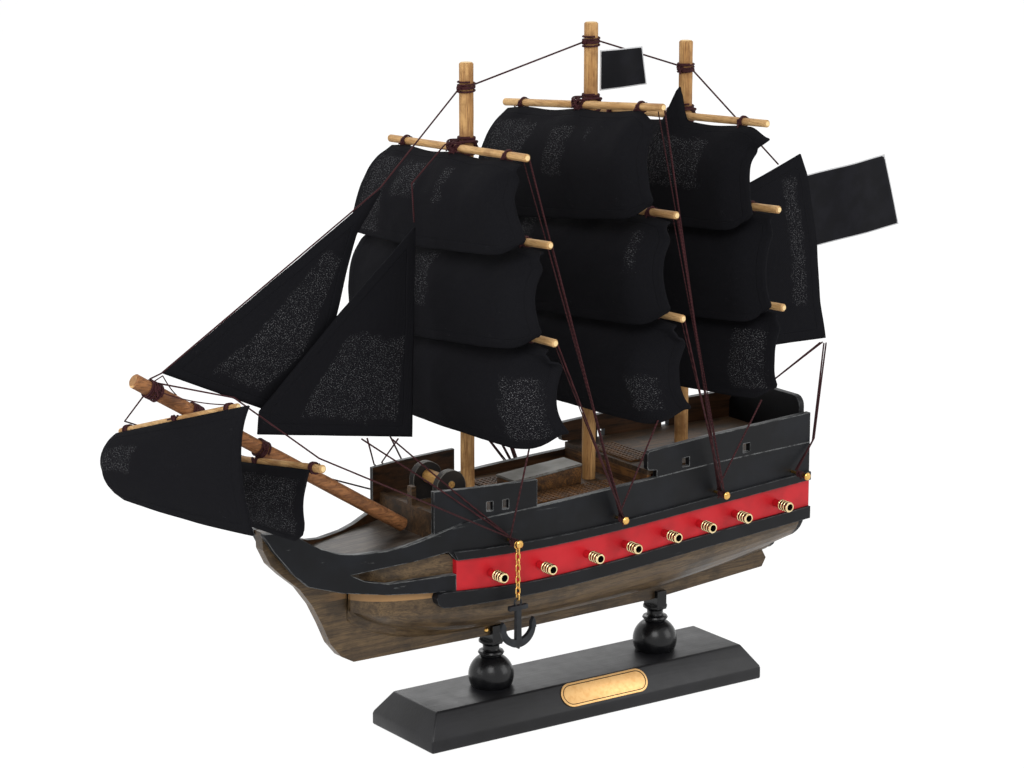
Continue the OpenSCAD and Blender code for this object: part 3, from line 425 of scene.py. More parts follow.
def own(name, verts, faces, look, slot, replaces=(), smooth=True, maps=None):
    """A new piece given in millimetres, riding the ship. look may be a list, with faces as (index, face)."""
    mesh = bpy.data.meshes.new(name)
    chosen = [look] if isinstance(look, str) else look
    picks = [0] * len(faces) if isinstance(look, str) else [pick for pick, _ in faces]
    mesh.from_pydata([[c * MM for c in v] for v in verts], [],
                     faces if isinstance(look, str) else [f for _, f in faces])
    for key, spots in (maps or {}).items():
        layer = mesh.uv_layers.new(name=key)
        for loop in mesh.loops:
            layer.data[loop.index].uv = spots[loop.vertex_index]
    mesh.polygons.foreach_set("use_smooth", [smooth] * len(mesh.polygons))
    mesh.polygons.foreach_set("material_index", picks)
    for part in chosen:
        mesh.materials.append(looks[part])
    piece = bpy.data.objects.new(name, mesh)
    scene.collection.objects.link(piece)
    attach(piece, "ship")
    if replaces:
        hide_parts(*replaces)
    return piece


def sharpen(piece, degrees=35):
    """Keeps edges sharper than the angle crisp under smooth shading."""
    mesh = piece.data
    work = bmesh.new()
    work.from_mesh(mesh)
    for edge in work.edges:
        edge.smooth = len(edge.link_faces) == 2 and edge.calc_face_angle() < math.radians(degrees)
    work.to_mesh(mesh)
    work.free()


def solids(node):
    """The separate solids of a CAD node from the lowest up, each as a list of points in millimetres."""
    work = copy_of(node)
    seen, found = set(), []
    for start in work.verts:
        if start in seen:
            continue
        seen.add(start)
        stack, group = [start], []
        while stack:
            vert = stack.pop()
            group.append(vert.co / MM)
            for edge in vert.link_edges:
                other = edge.other_vert(vert)
                if other not in seen:
                    seen.add(other)
                    stack.append(other)
        found.append(group)
    work.free()
    return sorted(found, key=lambda group: mean(group, 2))


def span(points, axis):
    return min(p[axis] for p in points), max(p[axis] for p in points)


def mean(points, axis):
    return sum(p[axis] for p in points) / len(points)


def ends(points, axis):
    """The middles of a bar's two ends along an axis, lowest first."""
    low, high = span(points, axis)
    first = [p for p in points if p[axis] < (low + high) / 2]
    last = [p for p in points if p[axis] >= (low + high) / 2]
    return sum(first, Vector()) / len(first), sum(last, Vector()) / len(last)


def skin(rings, sides, closed=False):
    """Faces between rings of verts that follow each other, with a cap on each end unless they close up."""
    faces = []
    for i in range(rings if closed else rings - 1):
        for k in range(sides):
            a, b = i * sides, ((i + 1) % rings) * sides
            faces.append((a + k, a + (k + 1) % sides, b + (k + 1) % sides, b + k))
    if not closed:
        faces.append(tuple(range(sides - 1, -1, -1)))
        faces.append(tuple((rings - 1) * sides + k for k in range(sides)))
    return faces


def tube(points, radius, closed=False, sides=8):
    """Verts and faces of a round tube along points. radius may be one number or a list."""
    n = len(points)
    points = [Vector(p) for p in points]
    radii = radius if isinstance(radius, list) else [radius] * n
    verts, up = [], None
    for i, p in enumerate(points):
        a = points[(i - 1) % n] if closed or i else p
        b = points[(i + 1) % n] if closed or i < n - 1 else p
        way = (b - a).normalized()
        up = way.orthogonal() if up is None else up - way * up.dot(way)
        up.normalize()
        side = way.cross(up)
        for k in range(sides):
            t = 2 * math.pi * k / sides
            verts.append(p + (up * math.cos(t) + side * math.sin(t)) * radii[i])
    return verts, skin(n, sides, closed)


def gather(parts):
    verts, faces = [], []
    for v, f in parts:
        base = len(verts)
        verts += v
        faces += [tuple(base + k for k in face) for face in f]
    return verts, faces


def wobble(p, size, seed):
    """Smooth noise from -1 to 1."""
    return noise.noise(Vector((p[0] / size + seed, p[1] / size, p[2] / size)))


def ease(x):
    x = min(max(x, 0), 1)
    return x * x * (3 - 2 * x)


# ---- Masts, yards and bowsprit: dowels with small flats from the knife ----

CHAMFER = 0.5
DOWEL_SIDES = 28
FLAT_SHARE = 0.035


def dowel(a, b, radius, seed):
    """A slightly hewn bar inside the given radius, with chamfered ends."""
    way = (b - a).normalized()
    up = way.orthogonal().normalized()
    side = way.cross(up)
    length = (b - a).length
    sides, steps = DOWEL_SIDES, max(8, int(length / 6))
    marks = [0, CHAMFER] + [CHAMFER + (length - 2 * CHAMFER) * i / steps for i in range(1, steps)]
    marks += [length - CHAMFER, length]
    verts = []
    for i, mark in enumerate(marks):
        trim = CHAMFER if i in (0, len(marks) - 1) else 0
        for k in range(sides):
            turn = 2 * math.pi * k / sides
            out = up * math.cos(turn) + side * math.sin(turn)
            flat = FLAT_SHARE * radius * (1 + wobble(out * 1.3 * radius + way * mark * 0.12, 1.2, seed))
            verts.append(a + way * mark + out * (radius - flat - trim))
    return verts, skin(len(marks), sides)


def radius_of(points, a, b):
    way = (b - a).normalized()
    return max(((p - a) - way * (p - a).dot(way)).length for p in points)


def dowels(name, node, axis, look):
    """Replaces a node of round bars, and gives each bar's ends and radius."""
    bars = []
    for points in solids(node):
        a, b = ends(points, axis)
        bars.append((a, b, radius_of(points, a, b)))
    verts, faces = gather([dowel(a, b, r, i * 5 + len(node)) for i, (a, b, r) in enumerate(bars)])
    sharpen(own(name, verts, faces, look, "pine", [node]), 40)
    return bars


masts = {mast: dowels(f"{mast}_mast_dowel", f"{mast}_mast", 2, "mast_wood")[0]
         for mast in ("fore", "main", "mizzen")}
yards = {mast: dowels(f"{mast}_yard_dowels", f"{mast}_yards", 1, "yard_wood") for mast in masts}
sprit_yards = dowels("sprit_yard_dowels", "sprit_yards", 1, "yard_wood")
bowsprit = dowels("bowsprit_dowel", "bowsprit", 0, "sprit_wood")[0]

# ---- Sails ----

CLOTH_THICK = 0.45
HEM_THICK = 0.8
HEAD_DROP = 1.6


def sheet_mesh(rows, thick):
    """A closed sheet through a grid of middle points. thick(i, j) is its thickness there."""
    m, n = len(rows), len(rows[0])
    normals = []
    for i in range(m):
        for j in range(n):
            down = rows[min(i + 1, m - 1)][j] - rows[max(i - 1, 0)][j]
            side = rows[i][min(j + 1, n - 1)] - rows[i][max(j - 1, 0)]
            normals.append(down.cross(side).normalized())
    verts = []
    for sign in (1, -1):
        for i in range(m):
            for j in range(n):
                verts.append(rows[i][j] + normals[i * n + j] * (sign * thick(i, j) / 2))
    off = m * n
    faces = []
    for i in range(m - 1):
        for j in range(n - 1):
            a, b, c, d = i * n + j, i * n + j + 1, (i + 1) * n + j + 1, (i + 1) * n + j
            faces += [(a, d, c, b), (a + off, b + off, c + off, d + off)]
    rim = list(range(n)) + [i * n + n - 1 for i in range(1, m)]
    rim += [(m - 1) * n + j for j in range(n - 2, -1, -1)] + [i * n for i in range(m - 2, 0, -1)]
    for k, a in enumerate(rim):
        b = rim[(k + 1) % len(rim)]
        faces.append((a, b, b + off, a + off))
    return verts, faces


def measure(rows):
    """Running lengths along each row and down each column of a grid, and its area."""
    m, n = len(rows), len(rows[0])
    across = [[0.0] * n for _ in range(m)]
    down = [[0.0] * n for _ in range(m)]
    for i in range(m):
        for j in range(1, n):
            across[i][j] = across[i][j - 1] + (rows[i][j] - rows[i][j - 1]).length
    for i in range(1, m):
        for j in range(n):
            down[i][j] = down[i - 1][j] + (rows[i][j] - rows[i - 1][j]).length
    area = sum(((rows[i + 1][j] - rows[i][j]).cross(rows[i][j + 1] - rows[i][j]).length
                + (rows[i + 1][j + 1] - rows[i + 1][j]).cross(rows[i + 1][j + 1] - rows[i][j + 1]).length) / 2
               for i in range(m - 1) for j in range(n - 1))
    return across, down, area


def soft_window(s, t, window):
    """About 1 inside a window (s from, s to, t from, t to) of the sheet and 0 well outside it."""
    s0, s1, t0, t1 = window
    across = min(s - s0, s1 - s) / 0.04 + 0.5
    down = min(t - t0, t1 - t) / 0.07 + 0.5
    return ease(across) * ease(down)


def sheet_piece(name, node, rows, glint_windows=(), look="black_cloth",
                thick=(CLOTH_THICK, HEM_THICK)):
    """A sheet through a grid. windows are where a painted highlight stands for light caught in its open
    weave.
    """
    m, n = len(rows), len(rows[0])
    across, down, area = measure(rows)
    rim, flat = [], []
    for i in range(m):
        for j in range(n):
            edge = min(across[i][j], across[i][-1] - across[i][j], down[i][j], down[-1][j] - down[i][j])
            glint = max([soft_window(j / (n - 1), i / (m - 1), w) for w in glint_windows], default=0)
            rim.append((edge * MM, glint))
            flat.append((across[i][j] * MM, down[i][j] * MM))
    verts, faces = sheet_mesh(rows, lambda i, j: thick[1] if rim[i * n + j][0] < HEM_EDGE else thick[0])
    piece = own(name, verts, faces, look, look, [node], maps={"cloth": flat * 2, "rim": rim * 2})


TIES = (0.13, 0.5, 0.87)
AHEAD = 0.7


def square_sail(mast, index, node, belly, hold, curl, glint_windows, seed, flare=(3, 5), sink=(5, 2),
                bare=(2.5, 0.5),
                droop=0.0, tip=0.0, peak=0.0, cut=2.0):
    """A sail hung in front of a yard. hold is the share of its belly left at the foot, and curl how far its
    port edge turns aft. flare widens its foot, sink lowers it and bare narrows its head, each at the
    starboard and the port end. droop and tip shape its port head corner, peak stands up beside the mast, and
    cut rounds its lower corners."""
    port, starboard, radius = yards[mast][index]
    way = (port - starboard).normalized()
    ahead = Vector((way[1], -way[0], 0)).normalized()
    length = (port - starboard).length
    drop = (port[2] + starboard[2]) / 2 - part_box(node)[0][2] / MM - HEAD_DROP
    count, cols = 40, 72
    rows = []
    for i in range(count + 1):
        t = i / count
        head_in = 3.0 * (1 - ease(t / 0.14))
        low = cut * ease((t - 0.84) / 0.16) ** 2
        first = bare[0] + head_in + low - flare[0] * ease(t * 0.8) / ease(0.8)
        last = length - bare[1] - 0.3 * head_in + flare[1] * ease(t * 0.9) / ease(0.9) - 1.5 * low
        last += tip * (1 - ease(t / 0.15))
        rounding = math.sin(math.pi * t) ** 0.75 if t < 0.5 else hold + (1 - hold) * math.sin(math.pi * t)
        least = radius + AHEAD if t < 0.15 or index else -6.0
        if index:
            least += 3.2 * ease((t - 0.7) / 0.2)
        row = []
        for j in range(cols + 1):
            u = j / cols
            side = 1 - 0.25 * max(1 - u / 0.4, 0) ** 2
            fore = radius + AHEAD + (belly * rounding + 2.4 * t) * side
            turned = curl * ease(t / 0.22) * ease((u - 0.86) / 0.16) ** 1.3
            fore = max(fore - turned, min(least, fore))
            sag = 0.9 * math.sin(math.pi * (u - TIES[0]) / (TIES[1] - TIES[0])) ** 2 * (1 - ease(t / 0.3))
            up = -sag - 1.2 * math.sin(math.pi * u) * t ** 2 + 2.0 * cut * ease((u - 0.9) / 0.1) ** 2 * t ** 6
            up -= droop * ease((u - 0.9) / 0.1) * (1 - ease(t / 0.35))
            up += peak * math.exp(-((u - 0.5) * length / 2.6) ** 2) * (1 - ease(t / 0.2))
            p = starboard + way * (first + (last - first) * u) + ahead * fore + Vector((0, 0, up - HEAD_DROP))
            p[2] -= (drop + sink[0] * (1 - u) + sink[1] * u) * t
            folds = 0.5 * math.sin(u * length / 3.4 + seed) * math.exp(-5 * t) * ease(t / 0.05)
            p += ahead * (folds + (0.8 * wobble(p, 16, seed) + 0.35 * wobble(p, 6, seed + 9))
                          * ease(t / 0.12))
            row.append(p)
        rows.append(row)
    sheet_piece(f"{node}_cloth", node, rows, glint_windows)


# Each list of windows marks where that sail's painted highlight specks go.
square_sail("fore", 0, "fore_course", 12, 0.45, 15, [(0.02, 0.27, 0.06, 0.14), (0.86, 0.97, 0.3, 0.9)], 4,
            flare=(-4, 6), sink=(0, 3), cut=3)
square_sail("fore", 1, "fore_topsail", 12.5, 0.75, 8, [(0.24, 0.5, 0.14, 0.66)], 7.7, flare=(3, 5),
            sink=(5.5, 3.5), bare=(4.5, 0.5))
square_sail("fore", 2, "fore_topgallant_sail", 12, 0.85, 7,
            [(0.02, 0.2, 0.1, 0.95), (0.24, 0.42, 0.1, 0.5), (0.56, 0.62, 0.12, 0.5)],
            11.4, flare=(12, 12), sink=(4.5, 2), bare=(2, 0))
square_sail("main", 0, "main_course", 12, 0.3, 13, [(0.86, 0.95, 0.5, 0.85)], 4.2, flare=(-4, 4),
            sink=(0, 2), cut=3)
square_sail("main", 1, "main_topsail", 12.5, 0.6, 8, [(0.28, 0.36, 0.1, 0.7), (0.88, 0.92, 0.1, 0.5)], 7.9,
            flare=(4, 5), sink=(4, 3))
square_sail("main", 2, "main_topgallant_sail", 12, 0.75, 6,
            [(0.02, 0.32, 0.1, 0.5), (0.44, 0.58, 0.14, 0.6), (0.66, 0.69, 0.12, 0.3)],
            11.6, flare=(7, 7), sink=(4, 1), droop=3.5)
square_sail("mizzen", 0, "mizzen_course", 5, 0.0, 5, [(0.82, 0.97, 0.2, 0.9)], 6.1, flare=(-3, -1),
            sink=(0, 0))
square_sail("mizzen", 1, "mizzen_topsail", 10, 0.5, 6, [(0.5, 0.56, 0.05, 0.6)], 9.8, flare=(3, 3),
            sink=(7, 6))
square_sail("mizzen", 2, "mizzen_topgallant_sail", 11, 0.75, 5, [(0.42, 0.78, 0.14, 0.62)], 13.5,
            flare=(5, 3), sink=(7, 7), droop=3, tip=5, peak=13)


def along(points, count):
    """Evenly spaced points on a polyline."""
    points = [Vector(p) for p in points]
    runs = [(b - a).length for a, b in zip(points, points[1:])]
    total, out = sum(runs), []
    for i in range(count + 1):
        want, k = total * i / count, 0
        while k < len(runs) - 1 and want > runs[k]:
            want -= runs[k]
            k += 1
        out.append(points[k].lerp(points[k + 1], min(want / runs[k], 1)))
    return out


def flat_sail(edge_a, edge_b, y, count, bulge, seed, rough=0.35):
    """A grid between two edges given as (x, z), each from its top down, near the plane at y."""
    lines = [along([(x, y, z) for x, z in edge], count) for edge in (edge_a, edge_b)]
    rows = []
    for i in range(count + 1):
        a, b = lines[0][i], lines[1][i]
        row = []
        for j in range(count + 1):
            t, s = i / count, j / count
            p = a.lerp(b, s)
            p[1] -= bulge * math.sin(math.pi * t) * math.sin(math.pi * s) + rough * wobble(p, 13, seed)
            row.append(p)
        rows.append(row)
    return rows


def middle_y(node):
    """The middle of a node's box across the ship, in millimetres."""
    low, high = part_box(node)
    return (low[1] + high[1]) / 2 / MM


SAIL_STEPS, FLAG_STEPS, OUTLINE_STEPS = 46, 30, 200
# The lists of windows mark where the painted highlight specks go on the jibs and the spanker.
sheet_piece("outer_jib_cloth", "outer_jib",
            flat_sail([(-86.3, 211.4), (-176.8, 154.95)],
                      [(-85.9, 211.0), (-96.4, 196.6), (-101, 183.5), (-104.6, 170), (-110.5, 149),
                       (-132, 134.5)],
                      0, SAIL_STEPS, 2.2, 3),
            [(0.28, 0.75, 0.3, 0.93)])
sheet_piece("inner_jib_cloth", "inner_jib",
            flat_sail([(-74.0, 197.0), (-105.2, 169.6), (-140.4, 137), (-141.2, 128.7)],
                      [(-73.7, 196.6), (-75.7, 118.5)],
                      middle_y("inner_jib"), SAIL_STEPS, 1.2, 5),
            [(0.25, 0.9, 0.52, 0.93)])
sheet_piece("spanker_cloth", "spanker",
            flat_sail([(56.8, 187.0), (56.8, 131.2)],
                      [(111.4, 206.8), (115, 198.3), (121, 168.5), (123.2, 146.1), (126.5, 130.2)],
                      0, SAIL_STEPS, 1.0, 8),
            [(0.78, 0.9, 0.08, 0.8)])


def spritsail(node, bar, foot, belly, glint_windows, seed, starboard_edge, port_edge):
    """A sail hung in front of a sprit yard. Each edge lists how far it stands out past the yard's end, from
    the head down to the foot."""
    port, starboard, radius = bar
    way = (port - starboard).normalized()
    count, cols = 36, 60
    outlines = [along([(out, 0, k / (len(edge) - 1)) for k, out in enumerate(edge)], OUTLINE_STEPS)
                for edge in (starboard_edge, port_edge)]
    rows = []
    for i in range(count + 1):
        t = i / count
        outs = [min(line, key=lambda p: abs(p[2] - t))[0] for line in outlines]
        start, finish = starboard - way * outs[0], port + way * outs[1]
        row = []
        for j in range(cols + 1):
            u = j / cols
            p = start.lerp(finish, u)
            top = p[2] - 0.4
            p[2] = top + (foot - top) * t * (1 + 0.02 * math.sin(math.pi * u))
            p[0] -= radius + 0.8 + belly * math.sin(math.pi * t * 0.92) ** 0.8 * (1 - 0.3 * (2 * u - 1) ** 4)
            p[0] += 5 * ease((0.08 - u) / 0.08) * t
            p[0] += (0.7 * wobble(p, 15, seed)) * ease(t / 0.12)
            row.append(p)
        rows.append(row)
    sheet_piece(f"{node}_cloth", node, rows, glint_windows)


aft_bar, fore_bar = sorted(sprit_yards, key=lambda bar: -bar[0][0])
# The lists of windows mark where the painted highlight specks go on the spritsails.
spritsail("fore_spritsail", fore_bar, 104.6, 8, [(0.05, 0.3, 0.2, 0.55)], 2,
          (-1, 1.5, 3, 4, 4.5, 4.8, 4.8, 4.6, 4, 2.5, -1.5),
          (9, 9.5, 10, 10.5, 11, 11.5, 12, 12.5, 13, 13, 12.5))
spritsail("aft_spritsail", aft_bar, 94.8, 5.5, [(0.35, 0.95, 0.12, 0.9)], 4,
          (-4, -3, -3, -3, -3, -3, -3, -3, -3, -4, -5), (-5, -4.5, -4, -4, -4, -4, -4, -4, -5, -7, -12))


# ---- Flags ----

PAPER_THICK = 0.25


def flag(node, edge_a, edge_b, waves, seed):
    """A paper flag between two upright edges, with gentle waves."""
    rows = flat_sail(edge_a, edge_b, middle_y(node), FLAG_STEPS, 0, seed, 0.2)
    for row in rows:
        for j, p in enumerate(row):
            u = j / (len(row) - 1)
            p[1] += waves * u * math.sin(2.2 * math.pi * u + seed)
    sheet_piece(f"{node}_sheet", node, rows,
                look="flag_paper", thick=(PAPER_THICK, PAPER_THICK))


flag("stern_flag", [(112.4, 197.5), (118.4, 168.1)], [(157.2, 202.3), (165.9, 172.8)], 0.9, 1)
flag("main_flag", [(11.5, 255.2), (11.5, 240)], [(31.5, 255.3), (33.6, 240.7)], 0.5, 2)


# ---- Threads, lashings and knots ----

THREAD_SLIM = 0.1


def slimmed(name, node):
    """A copy of a node of round threads, drawn in a little all round."""
    work = copy_of(node)
    work.normal_update()
    for vert in work.verts:
        vert.co -= vert.normal * THREAD_SLIM * MM
    stand_in(name, work, "thread", node)


slimmed("stay_threads", "stays")
slimmed("shroud_threads", "shrouds")

WIRE = 0.36
WIRE_SIDES = 7
KNOT_SIDES = 6
UP = Vector((0, 0, 1))


def coil(centre, way, radius, turns, seed, pitch=0.78):
    """A thread wound around a bar."""
    way = way.normalized()
    up = way.orthogonal().normalized()
    side = way.cross(up)
    steps = 20
    points = []
    for k in range(int(turns * steps) + 1):
        turn = 2 * math.pi * k / steps
        shift = (k / steps - turns / 2) * pitch + 0.22 * math.sin(turn * 0.37 + seed)
        out = radius + WIRE * (1.02 + 0.25 * math.sin(turn * 0.61 + seed * 3) ** 2)
        points.append(centre + way * shift + (up * math.cos(turn) + side * math.sin(turn)) * out)
    return tube(points, WIRE, sides=WIRE_SIDES)


def cross_lashing(mast_middle, mast_radius, yard_middle, yard_radius):
    """Turns in a cross around a mast and the yard in front of it."""
    parts = []
    back = mast_middle[0] + mast_radius + WIRE
    front = yard_middle[0] - yard_radius - WIRE
    half_x, middle_x = (back - front) / 2, (back + front) / 2
    half_y, half_z = mast_radius + WIRE + 0.1, yard_radius + WIRE + 0.5
    for turn in range(6):
        sign = 1 if turn % 2 else -1
        spread = (turn // 2 - 1) * 0.75
        grow = 0.18 * turn
        points = []
        for k in range(40):
            a = 2 * math.pi * k / 40
            c, s = math.cos(a), math.sin(a)
            x = middle_x + (half_x + grow) * math.copysign(abs(c) ** 0.8, c)
            y = mast_middle[1] + (half_y + grow) * math.copysign(abs(s) ** 0.7, s)
            y += spread * (c < 0) * abs(c) * 0.8
            z = yard_middle[2] + sign * half_z * math.copysign(abs(s) ** 0.8, s) + spread * abs(c)
            points.append(Vector((x, y, z)))
        parts.append(tube(points, WIRE, closed=True, sides=WIRE_SIDES))
    return parts


def knot(centre, size, seed, tails=2):
    """A small tangled knot with loose ends."""
    rng = random.Random(seed)
    shift = [rng.uniform(0, 6.28) for _ in range(3)]
    points = [Vector(centre) + Vector((size * math.sin(2 * a + shift[0]), size * math.sin(3 * a + shift[1]),
                                       size * 0.8 * math.sin(5 * a + shift[2])))
              for a in (2 * math.pi * k / 90 for k in range(90))]
    parts = [tube(points, WIRE, closed=True, sides=KNOT_SIDES)]
    for _ in range(tails):
        way = Vector((rng.uniform(-1, -0.3), rng.uniform(-1, 1), rng.uniform(-1, 0))).normalized()
        length = rng.uniform(1.5, 3.2)
        points = [Vector(centre) + way * (size * 0.4 + length * k / 8)
                  + Vector((0, 0, -0.06 * (length * k / 8) ** 2))
                  for k in range(9)]
        parts.append(tube(points, [WIRE * 0.9] * 8 + [WIRE * 0.5], sides=KNOT_SIDES))
    return parts


FROM_END = 0.13


def tie_loop(middle, way, radius):
    """A loop from a yard down through the head of its sail."""
    way = way.normalized()
    ahead = Vector((-1, 0, 0))
    points = []
    for k in range(24):
        a = 2 * math.pi * k / 24
        low = HEAD_DROP + 1.6 if math.sin(a) < 0 else radius + WIRE
        out = math.cos(a) * (radius + WIRE) + 0.5 * (1 - math.sin(a))
        points.append(middle + way * 0.5 * math.cos(a * 2) + ahead * out + Vector((0, 0, low * math.sin(a))))
    return tube(points, WIRE, closed=True, sides=WIRE_SIDES)


parts = []
for mast, bars in yards.items():
    mast_low, _, mast_radius = masts[mast]
    for index, (a, b, radius) in enumerate(bars):
        way = (b - a).normalized()
        crossing = a.lerp(b, 0.5)
        seed = index * 7 + len(mast)
        at_mast = Vector((mast_low[0], mast_low[1], crossing[2]))
        parts += cross_lashing(at_mast, mast_radius, crossing, radius)
        parts += knot(crossing + Vector((-radius - 0.6, 2.4 - index, radius - 0.6)), 1.5, seed)
        parts += knot(crossing + Vector((-radius - 0.9, -1.2, -0.6)), 0.9, seed + 50, 1)
        parts.append(coil(at_mast + UP * (radius + 1.6), UP, mast_radius, 2.6, seed))
        for end in (FROM_END, 1 - FROM_END):
            at = a.lerp(b, end)
            parts.append(coil(at, way, radius, 2.7, seed + end, 0.72))
            parts.append(tie_loop(at, way, radius))
            parts += knot(at + Vector((-radius - 0.5, 0.3, -0.7)), 0.45, seed + 1, 1)
own("yard_lashings", *gather(parts), "thread", "thread")

STAY_HEIGHTS = {"fore": (245.5, 246.5), "main": (258.8,), "mizzen": (246.5, 244.5)}
parts = []
for mast, heights in STAY_HEIGHTS.items():
    low, high, radius = masts[mast]
    middle = sum(heights) / len(heights)
    parts.append(coil(Vector((low[0], low[1], middle)), UP, radius, 4.6, len(mast), 0.8))
    parts += knot(Vector((low[0] - radius - 0.5, -0.6, middle)), 0.8, len(mast) + 40, 1)
own("mast_lashings", *gather(parts), "thread", "thread")

TIP_COIL = 9.0
tip_end, aft_end = bowsprit[:2]
sprit_way = (aft_end - tip_end).normalized()
parts = []
for distance, turns in ((TIP_COIL, 6.4), (28.0, 5.4), (60.0, 4.4)):
    parts.append(coil(tip_end + sprit_way * distance, sprit_way, bowsprit[2], turns, distance, 0.8))
    beside = Vector((0, -bowsprit[2] - 0.4, 1.2))
    parts += knot(tip_end + sprit_way * distance + beside, 0.9, int(distance), 1)
for index, (a, b, radius) in enumerate(sprit_yards):
    for end in (0.07, 0.93):
        parts.append(coil(a.lerp(b, end), b - a, radius, 3.4, index + end))
    parts += knot(a.lerp(b, 0.5) + Vector((-1.2, 0, 0.8)), 1.0, index + 90, 1)
own("sprit_lashings", *gather(parts), "thread", "thread")

# The pins' points from the bow aft. The two foremost pins carry the most lines.
pins = sorted(solids("rigging_pins"), key=lambda pin: mean(pin, 0))
BUSY_PINS = (0, 1)
PIN_CORE = 0.62
parts = []
for index, pin in enumerate(pins):
    side = 1 if mean(pin, 1) > 0 else -1
    reach = max(abs(p[1]) for p in pin)
    root = min(abs(p[1]) for p in pin)
    centre = Vector((mean(pin, 0), side * (root * 0.45 + reach * 0.55), mean(pin, 2)))
    parts.append(coil(centre, Vector((0, 1, 0)), PIN_CORE, 4.3, index, 0.74))
    size = 1.25 if index in BUSY_PINS else 0.8
    parts += knot(centre + Vector((-0.8, side * 0.6, 0.2)), size, index + 7, 1)
own("pin_lashings", *gather(parts), "thread", "thread")

# ---- Loose threads: ties of the jibs, and the second part of each backstay ----

STRAND, STRAND_STEPS = 0.22, 12


def strand(a, b, sag=0.0):
    """A thin thread between two points that may sag a little."""
    a, b = Vector(a), Vector(b)
    points = []
    for k in range(STRAND_STEPS + 1):
        t = k / STRAND_STEPS
        points.append(a.lerp(b, t) - Vector((0, 0, 4 * sag * t * (1 - t))))
    return tube(points, STRAND, sides=WIRE_SIDES)


parts = []
for index, pin in enumerate(pins):
    side = 1 if mean(pin, 1) > 0 else -1
    place = Vector((mean(pin, 0), side * max(abs(p[1]) for p in pin), mean(pin, 2)))
    mast = {1: "fore", 2: "main"}.get(index // 2)
    if mast:
        for level, (a, b, radius) in enumerate(yards[mast]):
            end = b if side > 0 else a
            inward = (a.lerp(b, 0.5) - end).normalized()
            target = end + inward * (4.5 + level) + Vector((radius + 0.6, 0, 0))
            parts.append(strand(place + Vector((-0.5 + 0.4 * level, -side * (1.6 + 0.4 * level), 0.9)),
                                target))
jib_low = Vector((-176.8, 0, 154.2))
near_tip = tip_end + sprit_way * TIP_COIL
parts.append(strand(jib_low, tip_end + sprit_way * 20 + UP * (bowsprit[2] + 0.4), 0.6))
parts.append(strand(jib_low, near_tip + UP * (bowsprit[2] + 0.3)))
parts.append(strand(near_tip + Vector((0, -bowsprit[2], 0.6)),
                    fore_bar[0].lerp(fore_bar[1], 0.09) + UP * 1.7, 1.2))
own("loose_threads", *gather(parts), "thread", "thread")

# ---- Cannons ----

PROFILE_SIDES = 32


def lathe(profile, centre, side):
    """Verts and faces of a turned shape along Y. profile is (radius, distance out, look) from its foot."""
    verts = []
    for radius, out, _ in profile:
        for k in range(PROFILE_SIDES):
            turn = 2 * math.pi * k / PROFILE_SIDES
            across, up = radius * math.cos(turn), radius * math.sin(turn)
            verts.append(Vector((centre[0] + across, side * out, centre[2] + up)))
    picks = [look for _, _, look in profile[1:] for _ in range(PROFILE_SIDES)]
    picks += [profile[0][2], profile[-1][2]]
    faces = [face if side > 0 else face[::-1] for face in skin(len(profile), PROFILE_SIDES)]
    return verts, list(zip(picks, faces))


GOLD, RED, DARK = 0, 1, 2
BORE = 1.35
RING_PITCH = 1.5
verts, faces = [], []
for barrel in solids("cannons"):
    side = 1 if mean(barrel, 1) > 0 else -1
    foot, muzzle = min(abs(p[1]) for p in barrel), max(abs(p[1]) for p in barrel)
    (low_x, high_x), (low_z, high_z) = span(barrel, 0), span(barrel, 2)
    centre = Vector(((low_x + high_x) / 2, 0, (low_z + high_z) / 2))
    ring = (high_x - low_x) / 2
    stem = ring * 0.74
    profile = [(stem, foot, RED), (stem, muzzle - 4 * RING_PITCH - 0.2, RED),
               (stem * 0.97, muzzle - 4 * RING_PITCH, RED)]
    for k in range(4, 0, -1):
        at = muzzle - k * RING_PITCH
        profile += [(stem * 0.85, at, DARK), (stem * 0.85, at + 0.46, DARK), (ring * 0.9, at + 0.5, GOLD),
                    (ring, at + 0.72, GOLD), (ring, at + 1.08, GOLD), (ring * 0.9, at + 1.32, GOLD)]
    profile += [(ring * 0.86, muzzle, GOLD), (BORE, muzzle, GOLD), (BORE * 0.96, muzzle - 0.15, DARK),
                (BORE * 0.9, muzzle - 2.4, DARK)]
    v, f = lathe(profile, centre, side)
    base = len(verts)
    verts += v
    faces += [(pick, tuple(base + k for k in face)) for pick, face in f]
sharpen(own("cannon_barrels", verts, faces, ["gilt", "red_paint", "bore"], "brass", ["cannons"]), 50)


# ---- Base board, hatch, gratings and nameplate ----

def softened(name, node, width, look, segments=3, degrees=25):
    """A copy of a CAD node with rounded edges, which stands for it."""
    work = copy_of(node)
    bmesh.ops.dissolve_limit(work, angle_limit=math.radians(1), verts=work.verts, edges=work.edges)
    sharp = [e for e in work.edges if len(e.link_faces) == 2 and e.calc_face_angle() > math.radians(degrees)]
    bmesh.ops.bevel(work, geom=sharp, offset=width * MM, segments=segments, affect="EDGES", profile=0.5,
                    clamp_overlap=True)
    sharpen(stand_in(name, work, look, node), 30)


softened("base_board_shaped", "base_board", 0.8, "board_paint")
softened("hatch_house_shaped", "hatch_house", 0.4, "front_wood", 2)
softened("nameplate_shaped", "nameplate", 0.15, "plate", 2)
for side in SIDES:
    softened(f"anchor_{side}_shaped", f"anchor_{side}", 0.25, "anchor_black", 2, 40)


